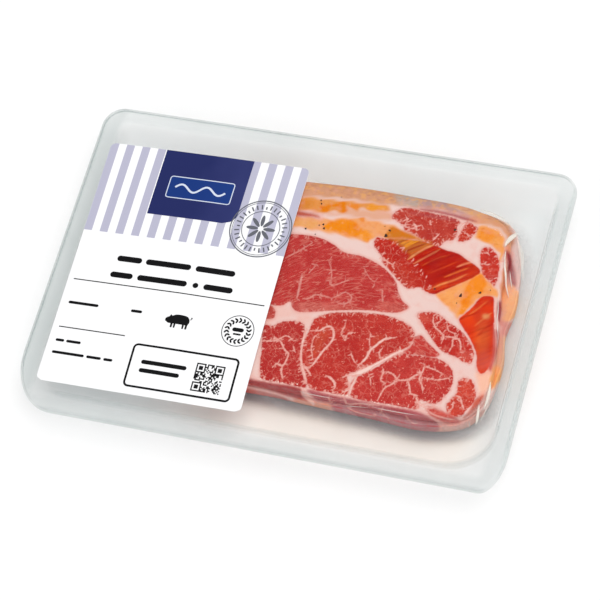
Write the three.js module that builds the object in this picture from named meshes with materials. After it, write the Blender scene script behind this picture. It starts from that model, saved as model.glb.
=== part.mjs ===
// A chilled pack of smoked pork neck: a shallow clear tray, two slices of meat lying one on the other,
// a clear skin film drawn down over both, and a paper label bridging from the rim to the meat.
// Millimetres, +Z up, X along the long side of the tray, near side towards -Y.
// The origin is the middle of the tray's footprint, on the surface that the tray stands on.
import * as THREE from "three";

// ---- Driving dimensions ----------------------------------------------------------------------------

// Tray: outer edge of the sealing flange, and the mouth of the recess inside it.
const PACK = { left: -110, right: 110, near: -75, far: 75 };
const MOUTH = { left: -102, right: 103.2, near: -66, far: 68 };
const RIM_HEIGHT = 16;
const SHEET = 0.8;

// Corner radii as [along X, along Y]: near right (the peel corner), far right, far left, near left.
const PACK_CORNERS = [[9, 18], [10, 10], [9.5, 9.5], [20, 26]];
const MOUTH_CORNERS = [[22, 18], [6, 6], [6, 6], [10, 12]];

// Turned-down outer edge of the flange.
const LIP_DROP = 1.8;
const LIP_ROUND = 0.7;

// Recess wall, from the mouth down: how far in from the mouth, and how high.
const WALL_TOP = { inset: 0.6, z: RIM_HEIGHT - 0.8 };
const WALL_FOOT = { inset: 2.4, z: 5 };
const COVE = { inset: 3.4, z: 2.2 };
const FLOOR = { inset: 5.2, z: SHEET };

// Clearance between pieces that touch, and the thickness of the thin webs.
const GAP = 0.3;
const FILM = 0.25;
const PAPER = 0.25;
const LABEL_GAP = 0.45;

// Slices: outlines at their widest, anticlockwise from the near left, then the rounding of their edges and
// how far their sides draw in towards the base.
const UPPER_OUTLINE = [
  [-30, -42.5], [5, -45], [45, -45.6], [72, -46.4], [86, -43.5], [92.6, -36], [94.8, -25], [93.8, -11],
  [91, 4], [88.8, 20], [88.4, 34], [84, 46], [70, 52], [40, 54], [5, 54], [-26, 50.5], [-44, 39],
  [-52, 16], [-51.5, -8], [-45, -30],
];
const LOWER_OUTLINE = [
  [-31, -43.4], [5, -45.8], [45, -47.5], [70, -48.4], [86.5, -43.9], [93, -36], [95.7, -24], [96.2, -12],
  [94, 0], [95.2, 12], [94, 26], [90.8, 39], [85, 49], [69, 54], [40, 55.4], [5, 55.4], [-27, 52],
  [-45.5, 40.5], [-53.5, 16], [-53, -8], [-46.5, -31],
];
const SLICE_MIDDLE = [22, 4];
const STACK_TOP = 18.2;
const SEAM = 9.9;
const CROWN = 0.9;
const CROWN_REACH = 72;
const WAVE = 0.25;
const WAVE_LENGTH = 34;
const CUT_EDGE = 1.6;
const RIND_EDGE = 6.5;
const UNDER_EDGE = 1.3;
const UNDER_TAPER = 0.9;

// Label: the sheet's size, its middle, its turn from the tray's axes, and the rise it takes over the meat.
const LABEL = { length: 94, width: 118, corner: 2.5, middle: [-53.9, -2], turn: THREE.MathUtils.degToRad(1) };
const LABEL_RISE = 2.2;
const RISE_RUN = 55;
const RISE_SPAN = 68;

// The film leaves the label's height between these two lines and falls to the meat and the floor.
const TENT_FULL_X = -12;
const TENT_END_X = 4;

// Film: where it ends on the flange, and how it bridges a slot too narrow for it to reach the floor.
const FILM_MARGIN = 1.9;
const NARROW_SLOT = 3;
const BRIDGE_STEEPNESS = 2.2;
const SKIRT = 1.2;
const RING_STEP = 0.12;

// Facets.
const LONG_STEPS = 14;
const SHORT_STEPS = 9;
const CORNER_STEPS = 5;
const OUTLINE_SAMPLES = 400;

// ---- Helpers ---------------------------------------------------------------------------------------

const lerp = THREE.MathUtils.lerp;
const smoothstep = THREE.MathUtils.smoothstep;

// A rounded rectangle as a ring of points at height z, moved in by inset. It runs anticlockwise from the
// near side. Every ring from here has the same number of points, so that any two can be joined.
function boxRing(box, corners, inset, z, longSteps = LONG_STEPS, shortSteps = SHORT_STEPS) {
  const left = box.left + inset;
  const right = box.right - inset;
  const near = box.near + inset;
  const far = box.far - inset;
  const radii = corners.map(([rx, ry]) => [Math.max(rx - inset / 2, 1), Math.max(ry - inset / 2, 1)]);
  const places = [
    { x: right, y: near, sx: -1, sy: 1, from: -90 },
    { x: right, y: far, sx: -1, sy: -1, from: 0 },
    { x: left, y: far, sx: 1, sy: -1, from: 90 },
    { x: left, y: near, sx: 1, sy: 1, from: 180 },
  ];
  const arcs = places.map(({ x, y, sx, sy, from }, i) => {
    const [rx, ry] = radii[i];
    const arc = new THREE.EllipseCurve(
      x + sx * rx, y + sy * ry, rx, ry,
      THREE.MathUtils.degToRad(from), THREE.MathUtils.degToRad(from + 90),
    );
    return arc.getPoints(CORNER_STEPS);
  });
  const ring = [];
  arcs.forEach((arc, i) => {
    const next = arcs[(i + 1) % arcs.length][0];
    const last = arc[arc.length - 1];
    const steps = i % 2 === 0 ? shortSteps : longSteps;
    ring.push(...arc);
    for (let k = 1; k < steps; k++) ring.push(last.clone().lerp(next, k / steps));
  });
  return ring.map((p) => new THREE.Vector3(p.x, p.y, z));
}

// Closes a stack of rings into one solid: a fan from the first point to the first ring, a band between
// each two rings, and a fan from the last ring to the last point.
function closedLoft(firstPoint, rings, lastPoint) {
  const count = rings[0].length;
  const points = [firstPoint, ...rings.flat(), lastPoint];
  const at = (ring, i) => 1 + ring * count + (i % count);
  const faces = [];
  for (let i = 0; i < count; i++) {
    faces.push(0, at(0, i), at(0, i + 1));
    for (let ring = 0; ring + 1 < rings.length; ring++) {
      faces.push(at(ring, i), at(ring + 1, i), at(ring + 1, i + 1));
      faces.push(at(ring, i), at(ring + 1, i + 1), at(ring, i + 1));
    }
    faces.push(points.length - 1, at(rings.length - 1, i + 1), at(rings.length - 1, i));
  }
  const geometry = new THREE.BufferGeometry().setFromPoints(points);
  geometry.setIndex(faces);
  geometry.computeVertexNormals();
  return geometry;
}

function piece(name, geometry, color, roughness, extra = {}) {
  const material = new THREE.MeshStandardMaterial({ color, roughness, metalness: 0, ...extra });
  const mesh = new THREE.Mesh(geometry, material);
  mesh.name = name;
  return mesh;
}

// ---- Tray ------------------------------------------------------------------------------------------

const mouthRing = (inset, z) => boxRing(MOUTH, MOUTH_CORNERS, inset, z);
const packRing = (inset, z) => boxRing(PACK, PACK_CORNERS, inset, z);

function makeTray() {
  const underRim = RIM_HEIGHT - SHEET;
  const lipFoot = RIM_HEIGHT - LIP_DROP;
  const rings = [
    mouthRing(FLOOR.inset, FLOOR.z),
    mouthRing(COVE.inset, COVE.z),
    mouthRing(WALL_FOOT.inset, WALL_FOOT.z),
    mouthRing(WALL_TOP.inset, WALL_TOP.z),
    mouthRing(0, RIM_HEIGHT),
    packRing(LIP_ROUND, RIM_HEIGHT),
    packRing(0, RIM_HEIGHT - LIP_ROUND),
    packRing(0, lipFoot),
    packRing(SHEET, lipFoot),
    packRing(SHEET, underRim),
    mouthRing(WALL_TOP.inset - SHEET, underRim - SHEET / 2),
    mouthRing(WALL_FOOT.inset - SHEET, WALL_FOOT.z - SHEET / 2),
    mouthRing(COVE.inset - SHEET, COVE.z - SHEET),
    mouthRing(FLOOR.inset - SHEET / 2, 0),
  ];
  const middle = SLICE_MIDDLE;
  const floorPoint = new THREE.Vector3(...middle, FLOOR.z);
  const basePoint = new THREE.Vector3(...middle, 0);
  return piece("tray", closedLoft(floorPoint, rings, basePoint), 0xdfe6e4, 0.2, {
    transparent: true,
    opacity: 0.45,
  });
}

// ---- Slices ----------------------------------------------------------------------------------------

// The directions of the rays from the middle of the meat to the tray's floor edge. Slices and film are
// built on these rays, so their facets lie parallel.
const RAYS = mouthRing(FLOOR.inset, 0).map((p) =>
  new THREE.Vector2(p.x - SLICE_MIDDLE[0], p.y - SLICE_MIDDLE[1]).normalize(),
);

// How far a closed smooth outline reaches from the middle of the meat along each ray.
function reachAlongRays(outline) {
  const points = outline.map(([x, y]) => new THREE.Vector3(x - SLICE_MIDDLE[0], y - SLICE_MIDDLE[1], 0));
  const curve = new THREE.CatmullRomCurve3(points, true, "centripetal");
  const samples = curve.getPoints(OUTLINE_SAMPLES);
  return RAYS.map((ray) => {
    for (let i = 0; i + 1 < samples.length; i++) {
      const before = ray.x * samples[i].y - ray.y * samples[i].x;
      const after = ray.x * samples[i + 1].y - ray.y * samples[i + 1].x;
      const hit = samples[i].clone().lerp(samples[i + 1], before / (before - after));
      if (before <= 0 && after > 0 && hit.x * ray.x + hit.y * ray.y > 0) return Math.hypot(hit.x, hit.y);
    }
    throw new Error("the outline doesn't go round the middle of the meat");
  });
}

// How much further a step straight out of the outline is along the ray, which meets the outline at a slant.
function slantOfRays(reach) {
  const points = RAYS.map((ray, i) => ray.clone().multiplyScalar(reach[i]));
  return RAYS.map((ray, i) => {
    const before = points[(i + RAYS.length - 1) % RAYS.length];
    const after = points[(i + 1) % RAYS.length];
    const along = after.clone().sub(before).normalize();
    return 1 / (ray.x * along.y - ray.y * along.x);
  });
}

const UPPER_REACH = reachAlongRays(UPPER_OUTLINE);
const LOWER_REACH = reachAlongRays(LOWER_OUTLINE);

// The upper cut face: slightly crowned, with the soft waves of raw-cut meat under film.
function cutFace(x, y) {
  const away = Math.hypot(x - SLICE_MIDDLE[0], y - SLICE_MIDDLE[1]) / CROWN_REACH;
  const waves = Math.sin((x + y / 2) / WAVE_LENGTH * Math.PI) * Math.cos(y / WAVE_LENGTH * Math.PI);
  return STACK_TOP - CROWN * away * away + WAVE * waves - WAVE;
}

// How far the edge of each slice is rounded along each ray: the rind side of the upper slice, at the far
// edge, is rounder than the sides that the knife left.
const UPPER_EDGE = RAYS.map((ray) => lerp(CUT_EDGE, RIND_EDGE, smoothstep(ray.y, 0.2, 0.8)));
const LOWER_EDGE = RAYS.map(() => CUT_EDGE);

// A ring on the rays: reach gives the distance along each ray, and height gives z from x, y and the ray.
function rayRing(reach, height) {
  return RAYS.map((ray, i) => {
    const x = SLICE_MIDDLE[0] + ray.x * reach[i];
    const y = SLICE_MIDDLE[1] + ray.y * reach[i];
    return new THREE.Vector3(x, y, height(x, y, i));
  });
}

// The two slices: their reach along the rays, the rounding of their edge, and the heights of face and base.
const UPPER = {
  reach: UPPER_REACH, slant: slantOfRays(UPPER_REACH), edge: UPPER_EDGE, face: cutFace, base: SEAM + GAP,
};
const LOWER = {
  reach: LOWER_REACH, slant: slantOfRays(LOWER_REACH), edge: LOWER_EDGE, face: () => SEAM, base: FLOOR.z + GAP,
};

// The reach of a slice's outline moved straight out by a distance, which may differ from ray to ray.
const grown = ({ reach, slant }, distance) => reach.map((r, i) => r + slant[i] * distance(i));

// The rings of a slice's face and of its rounded edge down to its widest line, moved outwards by lift.
function faceRings(slice, lift) {
  const { edge, face, base } = slice;
  const deepest = (face(...SLICE_MIDDLE) - base) / 2;
  const onEdge = (angle, share = 1) => rayRing(
    grown(slice, (i) => lift * Math.sin(angle) - edge[i] * (1 - Math.sin(angle))).map((r) => r * share),
    (x, y, i) => face(x, y) - Math.min(edge[i], deepest) * (1 - Math.cos(angle)) + lift * Math.cos(angle),
  );
  return [onEdge(0, 0.5), onEdge(0), onEdge(Math.PI / 4), onEdge(Math.PI / 2)];
}

function makeSlice(name, slice, color) {
  const { face, base } = slice;
  const rings = faceRings(slice, 0);
  rings.push(rayRing(grown(slice, () => -UNDER_TAPER), () => base + UNDER_EDGE));
  rings.push(rayRing(grown(slice, () => -UNDER_TAPER - UNDER_EDGE), () => base));
  const top = new THREE.Vector3(...SLICE_MIDDLE, face(...SLICE_MIDDLE));
  const bottom = new THREE.Vector3(...SLICE_MIDDLE, base);
  return piece(name, closedLoft(top, rings, bottom), color, 0.35);
}

// ---- Label and film --------------------------------------------------------------------------------

// How far the label and the film under it rise above the rim: nothing at the left and along the two long
// sides, most over the meat. Between the rim and the meat they are taut, so the rise is straight.
function labelRise(x, y) {
  const along = THREE.MathUtils.clamp((x - MOUTH.left) / RISE_RUN, 0, 1);
  const across = Math.max(0, 1 - Math.pow(Math.abs(y - 1) / RISE_SPAN, 2.2));
  return LABEL_RISE * along * across;
}

function makeLabel() {
  const bottomOf = (p) => RIM_HEIGHT + labelRise(p.x, p.y) + GAP + FILM + LABEL_GAP;
  const half = { x: LABEL.length / 2, y: LABEL.width / 2 };
  const box = { left: -half.x, right: half.x, near: -half.y, far: half.y };
  const corners = Array(4).fill([LABEL.corner, LABEL.corner]);
  const edge = boxRing(box, corners, 0, 0, 8, 8);
  const middle = new THREE.Vector3(...LABEL.middle, 0);
  const place = (p, share, thickness) => {
    const q = p.clone().multiplyScalar(share).applyAxisAngle(new THREE.Vector3(0, 0, 1), LABEL.turn).add(middle);
    return q.setZ(bottomOf(q) + thickness);
  };
  const shares = [0.3, 0.65, 1];
  const rings = [
    ...shares.map((share) => edge.map((p) => place(p, share, PAPER))),
    ...shares.toReversed().map((share) => edge.map((p) => place(p, share, 0))),
  ];
  const centre = new THREE.Vector3();
  return piece("label", closedLoft(place(centre, 0, PAPER), rings, place(centre, 0, 0)), 0xf7f7fa, 0.5);
}

// The film's lower surface for a lift of GAP, and its upper surface for a lift of GAP + FILM, as rings
// from the middle of the meat out to the flange.
function filmRings(lift) {
  const over = faceRings(UPPER, lift);
  const footReach = grown(UPPER, () => lift);
  const upperFoot = rayRing(footReach, () => SEAM + GAP + lift);
  const shoulder = faceRings(LOWER, lift).slice(1).map((ring, k) => ring.map((p, i) => {
    const least = footReach[i] + RING_STEP * (k + 1);
    const reach = Math.max(Math.hypot(p.x - SLICE_MIDDLE[0], p.y - SLICE_MIDDLE[1]), least);
    return new THREE.Vector3(SLICE_MIDDLE[0] + RAYS[i].x * reach, SLICE_MIDDLE[1] + RAYS[i].y * reach, p.z);
  }));
  const floorEdge = mouthRing(FLOOR.inset + lift / 2, FLOOR.z + lift);
  const slots = floorEdge.map((p, i) => {
    const out = Math.hypot(p.x - SLICE_MIDDLE[0], p.y - SLICE_MIDDLE[1]);
    return out - LOWER_REACH[i];
  });
  const bridge = slots.map((slot) => THREE.MathUtils.clamp((NARROW_SLOT - slot) * BRIDGE_STEEPNESS, 0, SEAM / 2));
  const skirt = rayRing(
    grown(LOWER, (i) => lift + Math.min(SKIRT, Math.max(slots[i], 0) / 4)),
    (x, y, i) => Math.max(FLOOR.z + GAP * 2, bridge[i]) + lift,
  );
  const raised = (ring) => ring.map((p, i) => p.clone().setZ(Math.max(p.z, bridge[i] + lift)));
  const wall = [
    floorEdge,
    mouthRing(COVE.inset + lift, COVE.z + lift / 2),
    mouthRing(WALL_FOOT.inset + lift, WALL_FOOT.z),
    mouthRing(WALL_TOP.inset + lift, WALL_TOP.z + lift / 2),
  ];
  const rings = [
    ...over,
    upperFoot,
    ...shoulder,
    skirt,
    ...wall.map(raised),
    mouthRing(lift, RIM_HEIGHT + lift),
    packRing(FILM_MARGIN, RIM_HEIGHT + lift),
  ];
  return rings.map((ring) => ring.map((p) => tented(p, lift)));
}

// Under and beside the label the film stays up with it.
function tented(p, lift) {
  const share = 1 - smoothstep(p.x, TENT_FULL_X, TENT_END_X);
  const tent = RIM_HEIGHT + labelRise(p.x, p.y) + lift;
  return p.clone().setZ(lerp(p.z, Math.max(p.z, tent), share));
}

function makeFilm() {
  const over = filmRings(GAP + FILM);
  const under = filmRings(GAP);
  const point = (lift) => new THREE.Vector3(...SLICE_MIDDLE, cutFace(...SLICE_MIDDLE) + lift);
  const geometry = closedLoft(point(GAP + FILM), [...over, ...under.toReversed()], point(GAP));
  return piece("film", geometry, 0xf2f5f5, 0.1, { transparent: true, opacity: 0.25 });
}

// ---- The pack --------------------------------------------------------------------------------------

const pack = new THREE.Group();
pack.name = "pack";
pack.add(
  makeTray(),
  makeSlice("lower_slice", LOWER, 0xc06a52),
  makeSlice("upper_slice", UPPER, 0xc8453c),
  makeFilm(),
  makeLabel(),
);

export default pack;
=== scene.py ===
"""Looks of a chilled pack of smoked pork neck: clear tray, two cured slices, skin film and paper label.

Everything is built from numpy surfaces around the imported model, in its frame: +Z up, X along the long side
of the tray, the near side towards -Y. Sizes are in millimetres and turn into metres where a mesh is made.
"""

import logging
import math
from dataclasses import dataclass, field
from enum import Enum
from typing import Callable

import bpy
import numpy as np
from mathutils import Matrix, Vector

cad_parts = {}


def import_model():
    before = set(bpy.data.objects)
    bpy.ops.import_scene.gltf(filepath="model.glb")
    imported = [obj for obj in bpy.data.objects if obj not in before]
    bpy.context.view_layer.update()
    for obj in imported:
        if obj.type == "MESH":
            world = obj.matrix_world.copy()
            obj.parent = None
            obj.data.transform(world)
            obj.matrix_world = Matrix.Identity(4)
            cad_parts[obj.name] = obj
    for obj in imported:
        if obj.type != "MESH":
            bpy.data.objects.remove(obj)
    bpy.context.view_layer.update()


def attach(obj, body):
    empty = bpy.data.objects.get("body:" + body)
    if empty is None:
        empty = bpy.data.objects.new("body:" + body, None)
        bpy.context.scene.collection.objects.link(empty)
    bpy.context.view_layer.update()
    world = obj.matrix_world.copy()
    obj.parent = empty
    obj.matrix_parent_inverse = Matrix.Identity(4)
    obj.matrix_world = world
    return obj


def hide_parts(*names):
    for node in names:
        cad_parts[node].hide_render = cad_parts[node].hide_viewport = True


LOG = logging.getLogger("pork_neck_pack")
MM = 0.001
BODY = "root"

Array = np.ndarray
Colour = tuple[float, float, float]
Point = tuple[float, float, float]
Path = tuple[tuple[float, float], ...]


# ---- Shader maths ------------------------------------------------


def operator(operation: str, reflected: bool = False) -> Callable[["Sock", object], "Sock"]:
    """Makes an operator that adds one Math node.

    Args:
        operation: The node's operation.
        reflected: Whether the socket is the second operand.

    Returns:
        The operator, which gives back the node's result.
    """

    def apply(self: "Sock", other: object) -> "Sock":
        """Adds the node to the socket's own tree."""
        first, second = (other, self) if reflected else (self, other)
        return self.nodes.node("ShaderNodeMath", {"operation": operation}, {0: first, 1: second})

    return apply


@dataclass(frozen=True)
class Sock:
    """An output socket that takes part in Python expressions, which add Math nodes to its tree.

    Attributes:
        nodes: The material that the socket belongs to.
        socket: The output socket.
    """

    nodes: "Nodes"
    socket: bpy.types.NodeSocket

    __add__ = operator("ADD")
    __radd__ = operator("ADD", reflected=True)
    __sub__ = operator("SUBTRACT")
    __rsub__ = operator("SUBTRACT", reflected=True)
    __mul__ = operator("MULTIPLY")
    __rmul__ = operator("MULTIPLY", reflected=True)
    most = operator("MAXIMUM")
    least = operator("MINIMUM")

    def within(self, low: float, high: float) -> "Sock":
        """The value kept between two numbers."""
        return self.most(low).least(high)

    def smooth(self, low: float, high: float) -> "Sock":
        """Rises smoothly from 0 at low to 1 at high, or falls where high is the smaller one."""
        turned = low > high
        ends = {"From Min": high if turned else low, "From Max": low if turned else high}
        values = {"To Min": 1.0, "To Max": 0.0} if turned else {}
        settings = {"interpolation_type": "SMOOTHSTEP"}
        return self.nodes.node("ShaderNodeMapRange", settings, {"Value": self, **ends, **values})


class Nodes:
    """A material's node tree, with one method for every kind of node."""

    def __init__(self, name: str) -> None:
        """Starts a material with a Principled shader.

        Args:
            name: The material's name.
        """
        self.material = bpy.data.materials.new(name)
        self.material.use_nodes = True
        self.tree = self.material.node_tree
        self.shader = self.tree.nodes["Principled BSDF"]

    def _fill(self, socket: bpy.types.NodeSocket, value: object) -> None:
        """Links or sets one input socket."""
        if isinstance(value, Sock):
            self.tree.links.new(value.socket, socket)
        elif isinstance(value, tuple) and len(value) == 3 and socket.type == "RGBA":
            socket.default_value = (*value, 1.0)
        else:
            socket.default_value = value

    def _input(self, made: bpy.types.Node, key: int | str) -> bpy.types.NodeSocket:
        """An input socket by its place, identifier or name."""
        if isinstance(key, int):
            return made.inputs[key]
        named = [s for s in made.inputs if s.identifier == key]
        return named[0] if named else made.inputs[key]

    def node(self, kind: str, settings: dict, sockets: dict, out: int | str = 0) -> Sock:
        """Adds one node.

        Args:
            kind: The node's type.
            settings: Its properties, which are set first.
            sockets: A value or link for each input, by place, identifier or name.
            out: Which output to give back, by place or identifier.

        Returns:
            That output.
        """
        made = self.tree.nodes.new(kind)
        for key, value in settings.items():
            setattr(made, key, value)
        for key, value in sockets.items():
            self._fill(self._input(made, key), value)
        if isinstance(out, int):
            return Sock(self, made.outputs[out])
        return Sock(self, next(s for s in made.outputs if s.identifier == out))

    def mix(self, factor: object, first: object, second: object) -> Sock:
        """The first colour, with the second one mixed in by a factor."""
        sockets = {"Factor_Float": factor, "A_Color": first, "B_Color": second}
        return self.node("ShaderNodeMix", {"data_type": "RGBA"}, sockets, "Result_Color")

    def layered(self, base: object, *layers: tuple[object, Colour]) -> Sock:
        """A colour with others laid over it in turn.

        Args:
            base: The lowest colour.
            *layers: For each one its share, and its colour in even white light.

        Returns:
            The mixed colour.
        """
        for share, colour in layers:
            base = self.mix(share, base, tint(*colour))
        return base

    def place(self) -> Sock:
        """Object coordinates in millimetres."""
        at = self.node("ShaderNodeTexCoord", {}, {}, "Object")
        return self.node("ShaderNodeVectorMath", {"operation": "SCALE"}, {0: at, "Scale": 1 / MM})

    def attribute(self, name: str, out: str = "Fac") -> Sock:
        """A value or colour kept on the mesh."""
        return self.node("ShaderNodeAttribute", {"attribute_name": name}, {}, out)

    def noise(self, at: Sock, size: float, detail: float = 2.0, rough: float = 0.5, seed: float = 0) -> Sock:
        """Noise from 0 to 1.

        Args:
            at: Where to read it, in millimetres.
            size: The size of its lumps, in millimetres.
            detail: How many finer layers it has.
            rough: How strong they are.
            seed: A shift, so that two noises differ.

        Returns:
            The noise.
        """
        moved = self.node("ShaderNodeVectorMath", {"operation": "ADD"}, {0: at, 1: (seed, seed * 1.7, -seed)})
        sockets = {"Vector": moved, "Scale": 1 / size, "Detail": detail, "Roughness": rough}
        return self.node("ShaderNodeTexNoise", {}, sockets)

    def warped(self, at: Sock, size: float, reach: float) -> Sock:
        """Coordinates pushed about by noise.

        Args:
            at: The coordinates, in millimetres.
            size: The size of the noise's lumps.
            reach: How far a point moves at most.

        Returns:
            The moved coordinates.
        """
        push = self.node("ShaderNodeTexNoise", {}, {"Vector": at, "Scale": 1 / size, "Detail": 1.0}, "Color")
        centred = self.node("ShaderNodeVectorMath", {"operation": "SUBTRACT"}, {0: push, 1: (0.5, 0.5, 0.5)})
        scaled = self.node("ShaderNodeVectorMath", {"operation": "SCALE"}, {0: centred, "Scale": 2 * reach})
        return self.node("ShaderNodeVectorMath", {"operation": "ADD"}, {0: at, 1: scaled})

    def stretched(self, at: Sock, scale: Point) -> Sock:
        """Coordinates scaled along each axis, on which a pattern gets longer where the scale is small."""
        return self.node("ShaderNodeMapping", {}, {"Vector": at, "Scale": scale})

    def cells(self, at: Sock, size: float, feature: str = "F1") -> Sock:
        """Voronoi cells: the distance to the nearest middle, or to the edge for DISTANCE_TO_EDGE.

        Args:
            at: Where to read them, in millimetres.
            size: The spacing of their middles, in millimetres.
            feature: Which distance it is.

        Returns:
            The distance, as a share of the size.
        """
        sockets = {"Vector": at, "Scale": 1 / size}
        return self.node("ShaderNodeTexVoronoi", {"feature": feature}, sockets, "Distance")

    def bump(self, height: Sock, depth: float) -> Sock:
        """A bumped normal.

        Args:
            height: The relief, from 0 to 1.
            depth: How high 1 stands, in millimetres.

        Returns:
            The normal.
        """
        return self.node("ShaderNodeBump", {}, {"Strength": 1.0, "Distance": depth * MM, "Height": height})

    def finish(self, **sockets: object) -> bpy.types.Material:
        """Fills the Principled shader's sockets.

        Args:
            **sockets: A value or link for each, by its name with underscores for spaces.

        Returns:
            The material.
        """
        for key, value in sockets.items():
            self._fill(self.shader.inputs[key.replace("_", " ")], value)
        return self.material


def tint(red: float, green: float, blue: float) -> Colour:
    """A colour for the shader from how it looks in even white light, as red, green and blue up to 255."""
    shares = (red / 255, green / 255, blue / 255)
    return tuple(c / 12.92 if c <= 0.04045 else ((c + 0.055) / 1.055) ** 2.4 for c in shares)


# ---- Curves and surfaces -----------------------------------------


def ramp(value: Array | float, low: float, high: float) -> Array:
    """Rises smoothly from 0 at low to 1 at high: 3t^2 - 2t^3 of the clipped share t."""
    share = np.clip((np.asarray(value, float) - low) / (high - low), 0, 1)
    return share * share * (3 - 2 * share)


def spline(points: Array, samples: int, closed: bool) -> Array:
    """A centripetal Catmull-Rom curve through points, evenly resampled by its length.

    Between two points the curve blends three straight runs, weighted by the square roots of their lengths.

    Args:
        points: The points, one a row.
        samples: How many points to give back.
        closed: Whether the last point runs on to the first.

    Returns:
        The samples, one a row. A closed curve's first sample isn't repeated.
    """
    p = np.asarray(points, float)
    if closed:
        p = np.vstack([p[-1], p, p[0], p[1]])
    else:
        p = np.vstack([2 * p[0] - p[1], p, 2 * p[-1] - p[-2]])
    knots = np.concatenate([[0], np.cumsum(np.sqrt(np.linalg.norm(np.diff(p, axis=0), axis=1)))])
    spans = len(p) - 3
    fine = 24
    share = np.tile(np.linspace(0, 1, fine, endpoint=False), spans)
    i = np.repeat(np.arange(spans), fine)
    t = knots[i + 1] + share * (knots[i + 2] - knots[i + 1])

    def run(a: Array, b: Array, ta: Array, tb: Array) -> Array:
        """A straight run from a at ta to b at tb, read at t."""
        return (a * (tb - t)[:, None] + b * (t - ta)[:, None]) / (tb - ta)[:, None]

    t0, t1, t2, t3 = knots[i], knots[i + 1], knots[i + 2], knots[i + 3]
    a1, a2, a3 = run(p[i], p[i + 1], t0, t1), run(p[i + 1], p[i + 2], t1, t2), run(p[i + 2], p[i + 3], t2, t3)
    b1, b2 = run(a1, a2, t0, t2), run(a2, a3, t1, t3)
    line = run(b1, b2, t1, t2)
    line = np.vstack([line, line[:1] if closed else p[-2]])
    away = np.concatenate([[0], np.cumsum(np.linalg.norm(np.diff(line, axis=0), axis=1))])
    wanted = np.linspace(0, away[-1], samples, endpoint=not closed)
    return np.stack([np.interp(wanted, away, line[:, k]) for k in range(line.shape[1])], axis=1)


@dataclass
class Surface:
    """Vertices in millimetres, faces and values on the vertices.

    Attributes:
        points: The vertices, one a row.
        faces: The faces, as lists of vertex numbers.
        values: Numbers or colours on the vertices, by attribute name.
    """

    points: Array
    faces: list
    values: dict[str, Array] = field(default_factory=dict)

    def joined(self, *others: "Surface") -> "Surface":
        """This surface and others as one, without their values."""
        points, faces, start = [self.points], [list(f) for f in self.faces], len(self.points)
        for other in others:
            points.append(other.points)
            faces += (np.asarray(other.faces) + start).tolist() if len(other.faces) else []
            start += len(other.points)
        return Surface(np.vstack(points), faces)

    def slab(self, drop: float | Array) -> "Surface":
        """A closed plate: this open surface, its copy behind it, and walls along the open border.

        Args:
            drop: How far below the copy lies, or each point's step to it.

        Returns:
            The plate.
        """
        count = len(self.points)
        quads = np.asarray(self.faces)
        low = self.points - (drop if isinstance(drop, np.ndarray) else [0, 0, drop])
        sides = quads.shape[1]
        edges = np.vstack([quads[:, [k, (k + 1) % sides]] for k in range(sides)])
        keys = edges[:, 0] * count + edges[:, 1]
        open_edges = edges[~np.isin(keys, edges[:, 1] * count + edges[:, 0])]
        tail, head = open_edges.T
        walls = np.stack([head, tail, tail + count, head + count], axis=1)
        faces = quads.tolist() + (quads[:, ::-1] + count).tolist() + walls.tolist()
        return Surface(np.vstack([self.points, low]), faces)

    def piece(
        self, name: str, material: bpy.types.Material, slot: str, replaces: tuple[str, ...] = ()
    ) -> bpy.types.Object:
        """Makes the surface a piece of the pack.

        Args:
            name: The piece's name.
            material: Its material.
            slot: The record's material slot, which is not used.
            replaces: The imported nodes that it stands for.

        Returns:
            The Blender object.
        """
        mesh = bpy.data.meshes.new(name)
        mesh.from_pydata((self.points * MM).tolist(), [], [list(f) for f in self.faces])
        mesh.polygons.foreach_set("use_smooth", np.ones(len(mesh.polygons), bool))
        for key, value in self.values.items():
            kind, entry, width = ("FLOAT", "value", 1) if value.ndim == 1 else ("FLOAT_COLOR", "color", 4)
            data = value if width == 1 else np.hstack([value, np.ones((len(value), 1))])
            made = mesh.attributes.new(key, kind, "POINT")
            made.data.foreach_set(entry, np.ascontiguousarray(data, np.float32).ravel())
        mesh.materials.append(material)
        mesh.set_sharp_from_angle(angle=math.radians(50))
        mesh.update()
        made_object = bpy.data.objects.new(name, mesh)
        bpy.context.scene.collection.objects.link(made_object)
        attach(made_object, BODY)
        if replaces:
            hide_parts(*replaces)
        LOG.info("%s: %d vertices, %d faces", name, len(mesh.vertices), len(mesh.polygons))
        return made_object


def grid_faces(rows: int, columns: int, flipped: bool = False) -> Array:
    """Quads between the points of a grid, numbered row by row.

    Args:
        rows: How many rows there are.
        columns: The points in each.
        flipped: Whether the quads face the other way.

    Returns:
        The quads, facing up where columns run along X and rows along Y.
    """
    number = np.arange(rows * columns).reshape(rows, columns)
    here, next_row = number[:-1, :-1], number[1:, :-1]
    both, next_column = number[1:, 1:], number[:-1, 1:]
    corners = [here, next_row, both, next_column] if flipped else [here, next_column, both, next_row]
    return np.stack(corners, axis=-1).reshape(-1, 4)


def ring_faces(rings: int, count: int, first: int = 0) -> Array:
    """Quads between rings that follow each other, each ring closing on itself.

    Args:
        rings: How many rings there are.
        count: The points on each.
        first: The number of the first ring's first vertex.

    Returns:
        The quads, facing out where the rings run anticlockwise and go down or outwards.
    """
    k, i = np.meshgrid(np.arange(rings - 1), np.arange(count), indexing="ij")
    after = (i + 1) % count
    a, b = first + k * count, first + (k + 1) * count
    return np.stack([a + i, b + i, b + after, a + after], axis=-1).reshape(-1, 4)


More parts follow.
